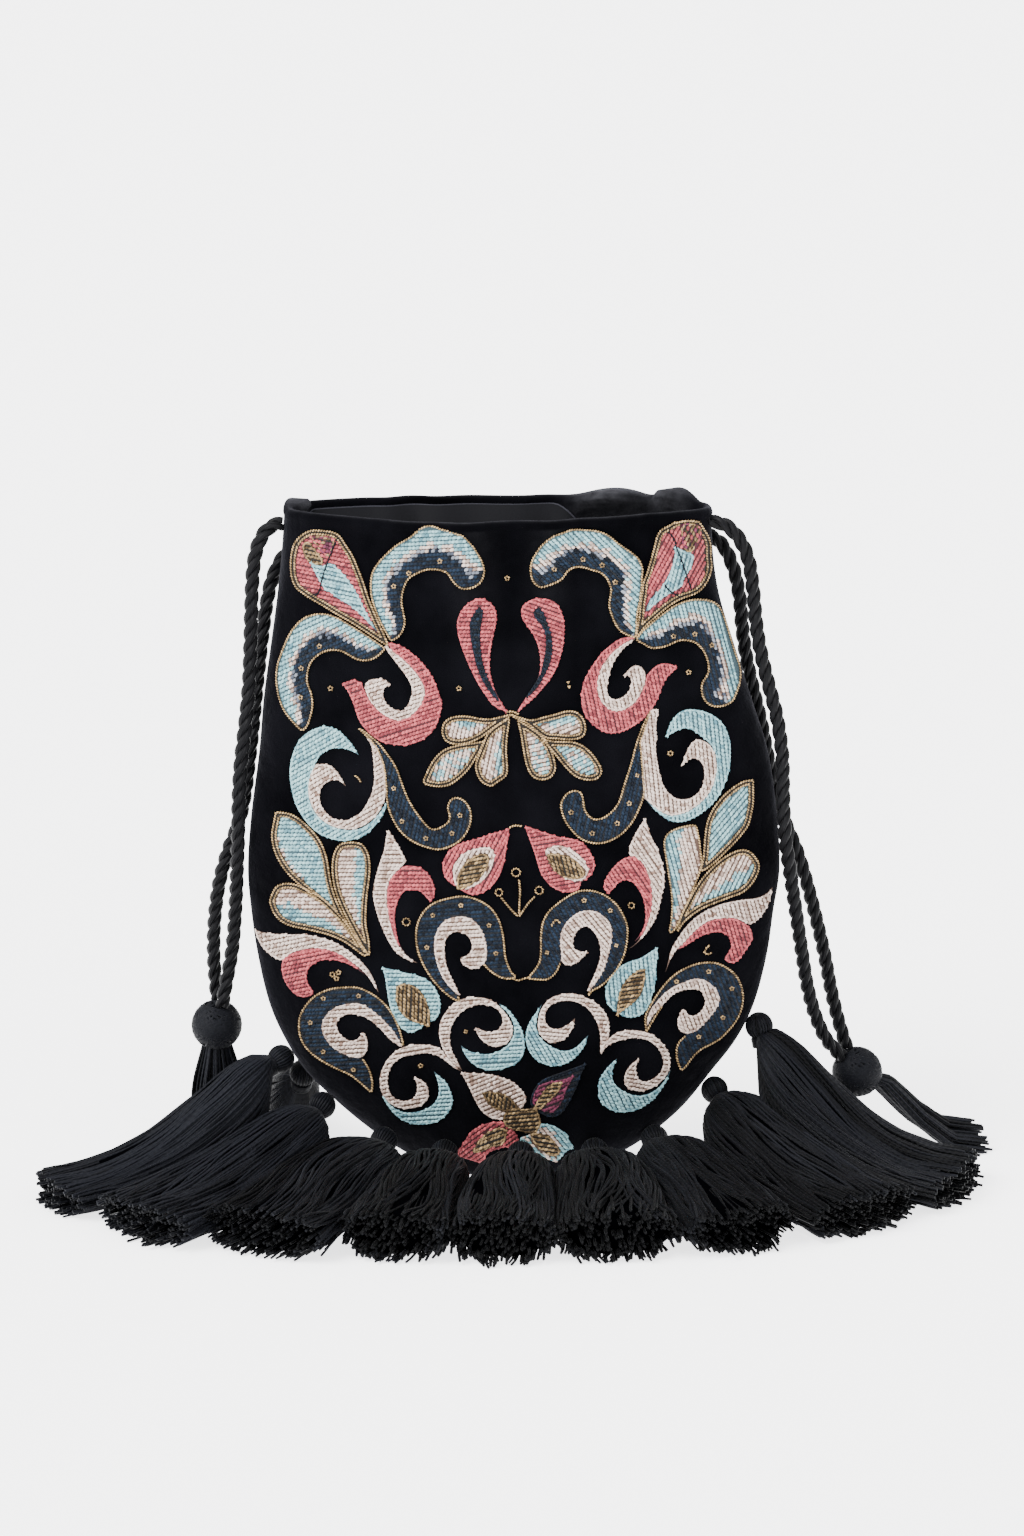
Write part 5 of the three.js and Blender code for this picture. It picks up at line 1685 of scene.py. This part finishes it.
for row in motifs.values():
    outline, closed = row["outline"], row["closed"]
    over = [
        other
        for other in motifs.values()
        if other["level"] > row["level"]
        and not (
            (other["outline"].min(axis=0) > outline.max(axis=0)).any()
            or (other["outline"].max(axis=0) < outline.min(axis=0)).any()
        )
    ]
    margin = gold_margins[row["gold"]]

    def free(points):
        """Which pixel points this field's stitches may cover."""
        kept = inside(points, outline) & (distance(points, closed) > margin)
        for other in over:
            kept &= ~inside(points, other["outline"])
        return kept

    def threads_at(points):
        """The thread of a stitch at each point, by the band that it lies in."""
        if row["lines"] is None:
            share = np.full(len(points), 0.5)
        else:
            from_edge, from_inner = (distance(points, line) for line in row["lines"])
            share = from_edge / np.maximum(from_edge + from_inner, 1e-6)
            share = share + band_scatter * rng.standard_normal(len(points))
        found = []
        for s in share:
            alternatives = next((names for names, to in row["bands"] if s <= to), row["bands"][-1][0])
            found.append(alternatives[rng.integers(len(alternatives))])
        return found

    # Rows of stitches, each cut where it meets the edge
    slope = math.radians(row["rows"])
    along = np.array([math.cos(slope), -math.sin(slope)])
    across = np.array([math.sin(slope), math.cos(slope)])
    middle = (outline.max(axis=0) + outline.min(axis=0)) / 2
    reach = np.linalg.norm(outline.max(axis=0) - outline.min(axis=0)) / 2 + row_pitch
    steps = np.arange(-reach, reach, row_step)
    rise = ground_lift + level_lift * row["level"]
    lift = rise + row_lift
    count = int(reach / row_pitch)
    for r in range(-count, count + 1):
        wander = row_wander * rng.standard_normal()
        line = middle + across * (r * row_pitch + wander) + np.outer(steps, along)
        kept = free(line).astype(int)
        change = np.flatnonzero(np.diff(np.concatenate([[0], kept, [0]])))
        for first, last in zip(change[::2], change[1::2]):
            run = (last - first) * row_step
            if run < shortest_row:
                continue
            pieces = max(1, int(round(run / grain_length)))
            cuts = np.linspace(0, run, pieces + 1)
            if r % 2 and pieces > 1:
                cuts = np.concatenate([[0], cuts[:-1] + run / pieces / 2, [run]])
            cuts[1:-1] += 0.5 * rng.standard_normal(len(cuts) - 2)
            base = line[first]
            spots = base + np.outer((cuts[:-1] + cuts[1:]) / 2, along)
            for thread, c0, c1 in zip(threads_at(spots), cuts[:-1], cuts[1:]):
                grains[thread].add(
                    base + along * (c0 - grain_overlap),
                    base + along * (c1 + grain_overlap),
                    row_pitch * pixel_size * row_width[thread],
                    stitch_height,
                    lift,
                    tone_of(thread, row["shade"]),
                    grain_slant * (0.6 + 0.8 * rng.random()) if run > 1.5 * grain_length else 0.0,
                )

    # A line of stitches along an edge that has no gold, which makes it smooth
    if not row["gold"]:
        steps = even_line(closed, edge_pitch)
        way = steps[1:] - steps[:-1]
        way = way / np.maximum(np.linalg.norm(way, axis=1), 1e-9)[:, None]
        side = np.stack([-way[:, 1], way[:, 0]], axis=1) * edge_inset
        middles = (steps[1:] + steps[:-1]) / 2
        inward = np.where(inside(middles + side, outline)[:, None], side, -side)
        middles = middles + inward
        shown = free(middles + inward) | free(middles)
        for spot, along_edge, thread, seen in zip(middles, way, threads_at(middles), shown):
            if seen:
                half = along_edge * (edge_pitch / 2 + grain_overlap)
                grains[thread].add(
                    spot - half, spot + half, edge_width, stitch_height, lift,
                    tone_of(thread, row["shade"]), 0.5 * grain_slant,
                )

    # The ground under the rows, a thin raised field of the same colours darkened, a painted shade between
    # the rows
    (left, top), (right, bottom) = outline.min(axis=0), outline.max(axis=0)
    columns, lines = np.arange(left, right, ground_step), np.arange(top, bottom, ground_step)
    grid = np.stack(np.meshgrid(columns, lines), axis=-1).reshape(-1, 2)
    grid = grid[inside(grid, outline) & (distance(grid, closed) > 0.5 * ground_step)]
    rim = even_line(closed, ground_rim_step)[:-1]
    flat = [Vector(p) for p in np.concatenate([rim, grid])]
    ring_edges = [(i, (i + 1) % len(rim)) for i in range(len(rim))]
    points, _, triangles, _, _, _ = delaunay_2d_cdt(flat, ring_edges, [], 1, 1e-4)
    spots = np.array([tuple(p) for p in points])
    cast = [on_velvet(*p) for p in spots]
    triangles = [t for t in triangles if all(cast[i][0] is not None for i in t)]
    if not triangles:
        continue
    middles = np.array([spots[list(t)].mean(axis=0) for t in triangles])
    under_gold = (distance(middles, closed) < margin - 0.6) & (row["gold"] == 2)
    for t, thread, dark in zip(triangles, threads_at(middles), under_gold):
        thread = gold_thread if dark else thread
        places, faces = ground_parts[thread]
        start = len(places)
        places.extend(tuple(cast[i][0] + cast[i][1] * rise) for i in t)
        faces.append((start, start + 2, start + 1))

    def open_line(points):
        """The stretches of a line of pixels that no field above covers."""
        shown = np.ones(len(points), bool)
        for other in over:
            shown &= ~inside(points, other["outline"])
        change = np.flatnonzero(np.diff(np.concatenate([[0], shown.astype(int), [0]])))
        return [points[first:last] for first, last in zip(change[::2], change[1::2]) if last - first > 2]

    if row["gold"]:
        for stretch in open_line(even_line(closed, gold_pitch)):
            gold_cord(stretch)
    if row["gold"] == 2:
        way = np.roll(outline, -1, axis=0) - np.roll(outline, 1, axis=0)
        way /= np.maximum(np.linalg.norm(way, axis=1), 1e-9)[:, None]
        for sign in (1, -1):
            shifted = outline + sign * gold_gap * np.stack([-way[:, 1], way[:, 0]], axis=1)
            good = inside(shifted, outline) & (distance(shifted, closed) > 0.85 * gold_gap)
            if good.mean() > 0.4:
                change = np.flatnonzero(np.diff(np.concatenate([[0], good.astype(int), [0]])))
                for first, last in zip(change[::2], change[1::2]):
                    if last - first > 4:
                        for stretch in open_line(even_line(shifted[first:last], gold_pitch)):
                            gold_cord(stretch)

for x, y, radius in gold_rings:
    turns = np.linspace(0, 2 * math.pi, 9)
    radius = ring_share * radius
    gold_cord(np.stack([x + radius * np.cos(turns), y + radius * np.sin(turns)], axis=1), ring_thickness)
for line in gold_lines:
    gold_cord(smooth_line(line, 6))
for line in slits:
    steps = even_line(smooth_line(line, 6), slit_pitch)
    for a, b in zip(steps[:-1], steps[1:]):
        way = (b - a) * slit_overlap
        grains[navy].add(a - way, b + way, slit_width, slit_height, slit_lift, 0.0)

for thread, gathered in grains.items():
    stitches = grown(
        "stitches_" + thread,
        gathered.places,
        [],
        grain_tree,
        silks[thread],
        {},
        {"along": gathered.along, "out": gathered.out, "size": gathered.size, "tone": gathered.tone},
    )
    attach(stitches, "root")
    places, faces = ground_parts[thread]
    if faces:
        mesh = bpy.data.meshes.new("stitch_ground_" + thread)
        mesh.from_pydata(places, [], faces)
        mesh.materials.append(grounds[thread])
        mesh.shade_smooth()
        ground = bpy.data.objects.new("stitch_ground_" + thread, mesh)
        bpy.context.scene.collection.objects.link(ground)
        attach(ground, "root")

# Lining: a thin plain bag of dark grey cloth, sewn in a little below the velvet's hem, whose folded
# edge shows as a fine paler line. The woven cloth is dull, with a weave that only softens it.
weave_pitch = 1.43 * mm
lining_cloth, lining_tree, lining_shader = new_material(
    "grey lining cloth", "#0E0E11", 0.8, Specular_IOR_Level=0.1
)
lining_place = node(lining_tree, "ShaderNodeTexCoord").outputs["Object"]
weave = node(
    lining_tree, "ShaderNodeTexNoise", {"Vector": lining_place, "Scale": 1 / weave_pitch, "Detail": 2}
)
weave_bump = node(
    lining_tree, "ShaderNodeBump", {"Height": weave.outputs[0], "Strength": 0.3, "Distance": 0.2 * mm}
)
lining_tree.links.new(weave_bump.outputs[0], lining_shader.inputs["Normal"])

fold_share = sum(
    drop * rim_fold * np.minimum(1, 1.6 * nearness(pouch_turns, middle, spread))
    for middle, spread, rise, push, drop in rim_folds
)
lining_top = (rim_heights - lining_drop - fold_share) / rim_heights


def lining_ring(up, inset, rise):
    """One ring of the lining at shares of the pouch's height."""
    ring = pouch_point(pouch_turns, up, inset + fold_push(pouch_turns, (1 - up) * pouch_height))
    floor_height = velvet_wall + clearance + rise
    ring[:, 2] = floor_height + up * (rim_heights - floor_height)
    return ring


def lining_face(inset, rise):
    """The rings of the lining's outer or inner face, from its base to its top."""
    levels = (0, 0.08, 0.2, 0.4, 0.6, 0.7, 0.78, 0.84, 0.9)
    rings = [lining_ring(np.full(around_pouch, up), inset, rise) for up in levels]
    return rings + [lining_ring(lining_top, inset, rise)]


lining_inset = velvet_wall + 2 * clearance
lining = loft(
    "lining_cloth",
    lining_face(lining_inset, 0) + lining_face(lining_inset + lining_wall, lining_wall)[::-1],
    lining_cloth,
)
# The lining's fold along its top, a fine paler line
edge_radius = 0.45 * mm
edge_cloth = new_material("edge of the lining", "#2E2E34", 0.8, Specular_IOR_Level=0.1)[0]
edge_ring = lining_ring(lining_top, lining_inset - 0.1, 0)
edge_links = [(i, (i + 1) % around_pouch) for i in range(around_pouch)]
fold = grown(
    "lining_edge", edge_ring * mm, edge_links, thread_tree, edge_cloth, {"Radius": edge_radius, "Sides": 8}
)
lining = joined("lining_cloth", [lining, fold])
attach(lining, "root")
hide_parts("lining")

# Fringe tassels: a ball of threads laid from its top down, a neck bound with five turns, and a full
# skirt of plied threads in locks that swells from the neck, falls to the floor and ends like a brush.
head_diameter = 10.5
neck_diameter = 8.4
neck_length = 4.6
skirt_length = 96
skirt_shoulder = 5
skirt_thickness = 20
skirt_bulge = 5
fringe_thread = 0.56
outer_threads = 195
end_threads = 230
head_threads = 26
skirt_locks = 13
skirt_square = 0.85
skirt_floor = 0.1
neck_seat = 0.8
binding_turns = 5
brush_start = 0.74

# along, top, under, width, bulge, as in the CAD's own table
skirt_form = np.array(
    [
        (0, 1, 1, 0.22, 0),
        (0.04, 0.98, 0.62, 0.48, 0.35),
        (0.14, 0.82, 0.16, 0.68, 0.85),
        (0.3, 0.52, 0, 0.79, 1),
        (0.52, 0.18, 0, 0.87, 0.8),
        (0.76, 0.03, 0, 0.95, 0.3),
        (1, 0, 0, 1, 0),
    ]
)

# name, turn, up, dip, way, run, fan, thick as in the CAD, how much the threads curl, and a painted light
# that makes all of a tassel's threads paler or darker: paler on the left, where the light falls, and
# darker at the front and right, in the pouch's shadow
fringe = [
    ("fringe_tassel_1", 180, 0.18, 0.3, 211, 1.06, 0.44, 0.65, 0.3, 0.15),
    ("fringe_tassel_2", 194, 0.12, 0.45, 230, 1.1, 0.52, 0.8, 0.4, 0.1),
    ("fringe_tassel_3", 216, 0.073, 0.3, 243, 1.04, 0.6, 0.95, 0.6, -0.1),
    ("fringe_tassel_4", 242, 0.058, 0.25, 258, 0.95, 0.5, 1, 1, -0.3),
    ("fringe_tassel_5", 273, 0.058, 0.25, 265, 0.93, 0.52, 1, 1, -0.38),
    ("fringe_tassel_6", 303, 0.06, 0.25, 275, 0.94, 0.6, 1, 1, -0.38),
    ("fringe_tassel_7", 331, 0.074, 0.3, 290, 0.98, 0.52, 0.95, 0.8, -0.3),
    ("fringe_tassel_8", 353, 0.138, 0.5, 307, 1, 0.6, 0.85, 0.5, -0.3),
    ("fringe_tassel_9", 0, 0.229, 0.8, 334, 0.97, 0.64, 0.75, 0.35, -0.25),
    ("fringe_tassel_back", 168, 0.15, 0.6, 106, 0.9, 0.4, 0.75, 0.4, -0.1),
]


def skirt_spots(skirt, t, angle, deep):
    """Points at shares of a skirt's run and angles round it, from deep 0 in its middle to 1 outside."""
    start, heading, across, run, fan, thick = skirt
    ends = thick * skirt_thickness
    low = skirt_floor
    top_share, under_share, width_share, bulge = (
        read_table(skirt_form, column, np.minimum(t, 1)) for column in range(1, 5)
    )
    top = ends + top_share * (start[2] + skirt_shoulder - ends) + bulge * skirt_bulge
    under = low + under_share * (start[2] - neck_diameter / 2 - low)
    width = np.maximum(width_share * fan * run, neck_diameter)
    side = np.sign(np.cos(angle)) * np.abs(np.cos(angle)) ** skirt_square
    rise = np.sign(np.sin(angle)) * np.abs(np.sin(angle)) ** skirt_square
    inset_side = np.maximum(width / 2 - fringe_thread, 1) * side * deep
    inset_rise = np.maximum((top - under) / 2 - fringe_thread, 1) * rise * deep
    spots = start + np.multiply.outer(t * run * (1 - 0.05 * side * side), heading)
    spots = spots + inset_side[..., None] * across
    spots[..., 2] = (top + under) / 2 + inset_rise
    return spots


for seed, (name, turn, up, dip, way, run_share, fan, thick, curl, painted_tassel_light) in enumerate(fringe):
    rng = np.random.default_rng(100 + seed)
    radius = head_diameter / 2
    head = pouch_point(turn, up, 0) + pouch_normal(turn, up) * (radius + clearance)
    heading = np.array([math.cos(math.radians(way)), math.sin(math.radians(way)), 0])
    across = np.array([-heading[1], heading[0], 0])
    neck_way = heading * (1 - dip) + np.array([0, 0, -dip])
    neck_way /= np.linalg.norm(neck_way)
    neck = head + neck_way * (radius * neck_seat + neck_length)
    run = run_share * skirt_length - radius - neck_length
    skirt = (neck - neck_way * neck_length / 2, heading, across, run, fan, thick)
    over = np.cross(neck_way, across)
    lines, tones = [], []
    # The skirt's outer threads, in locks that sway together and draw in towards their own middle
    t = np.linspace(0, 1, 20)
    middles = (np.arange(skirt_locks) + 0.5 * rng.random(skirt_locks)) * 2 * math.pi / skirt_locks
    sways = [(3 + 3 * rng.random(), whole_turn * rng.random(), rng.random()) for _ in middles]
    for k in range(outer_threads):
        lock = k % skirt_locks
        pace, phase, lock_tone = sways[lock]
        filler = k % 4 == 3
        spread = ((k // skirt_locks + rng.random()) * skirt_locks / outer_threads - 0.5) * 2.5 * math.pi
        spread /= skirt_locks
        angle = middles[lock] + spread * (1.2 if filler else 1 - 0.15 * ease(t * 1.5))
        angle = angle + (0.06 + 0.26 * curl) * np.sin(t * pace + phase) * t
        waver = np.sin(t * (8 + 10 * rng.random()) + whole_turn * rng.random())
        angle = angle + (0.012 + 0.022 * curl) * waver
        deep = 1 - 0.06 * rng.random() - 0.14 * (spread * skirt_locks / math.pi / 1.25) ** 2 * ease(t * 2)
        deep = 0.9 + 0.03 * rng.random() if filler else deep
        reach = 1 + 0.015 * rng.standard_normal() + (0.04 if rng.random() < 0.03 else 0)
        spot = skirt_spots(skirt, t * reach, angle, deep)
        loose = (0.4 + 0.5 * curl) * rng.standard_normal(3) * ease((t - 0.8) * 5)[:, None]
        spot = spot + loose
        wobble = np.sin(t * (10 + 12 * rng.random()) + whole_turn * rng.random()) * ease(t * 4)
        spot[:, 2] += (0.2 + 0.3 * curl) * wobble
        spot[:, 2] = np.maximum(spot[:, 2], skirt_floor + fringe_thread)
        lines.append(spot * mm)
        # Each thread's tone is random within its lock, shifted by the tassel's painted light
        tones.append(float(np.clip(0.55 * lock_tone + 0.55 * rng.random() + painted_tassel_light, 0, 1)))
    # The inner threads, which show only as the brush of cut ends, in darker tones, a painted shade deep in
    # the brush
    t = np.linspace(brush_start, 1, 6)
    for k in range(end_threads):
        angle = np.full(len(t), whole_turn * rng.random())
        deep = 0.96 * math.sqrt(rng.random())
        reach = 1 + 0.02 * rng.standard_normal()
        spot = skirt_spots(skirt, t * reach, angle, deep)
        loose = ease((t - brush_start) * 3.5) ** 1.5
        spot = spot + np.outer(loose, (0.6 + 0.8 * curl) * rng.standard_normal(3))
        spot[:, 2] = np.maximum(spot[:, 2], skirt_floor + fringe_thread)
        lines.append(spot * mm)
        tones.append(max(0.4 * rng.random() + painted_tassel_light, 0))
    # The threads of the head, from its top to the neck
    for k in range(head_threads):
        turn_k = 2 * math.pi * k / head_threads
        ring = math.cos(turn_k) * across + math.sin(turn_k) * over
        down = np.linspace(0.05, 0.86, 10) * math.pi
        path = head + radius * 0.93 * (
            np.outer(np.sin(down), ring) - np.outer(np.cos(down), neck_way)
        )
        lines.append(path * mm)
        tones.append(0.2 + 0.6 * rng.random() + 0.5 * painted_tassel_light)
    # The turns that bind the neck
    bind = np.linspace(0, binding_turns * 2 * math.pi, 80)
    path = (
        head
        + np.outer(radius * neck_seat + bind / bind[-1] * (neck_length - 1), neck_way)
        + neck_diameter * 0.46 * (np.outer(np.cos(bind), across) + np.outer(np.sin(bind), over))
    )
    lines.append(path * mm)
    tones.append(0.4)
    threads = thread_bundle(name + "_skirt", lines, tones, fringe_thread * mm)
    ball = solid_ball(name + "_core", Vector(head * mm), radius * 0.9 * mm)
    ball.data.materials.append(tassel_silk)
    # The body of threads under the outer ones, in the painted shade
    around = np.linspace(0, 2 * math.pi, 24, endpoint=False)
    rings = [skirt_spots(skirt, np.full(24, s), around, 0.86) for s in np.linspace(0, 0.95, 14)]
    body = loft(name + "_body", rings, skirt_shade)
    tassel = joined(name + "_threads", [threads, ball, body])
    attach(tassel, "root")
    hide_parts(name)
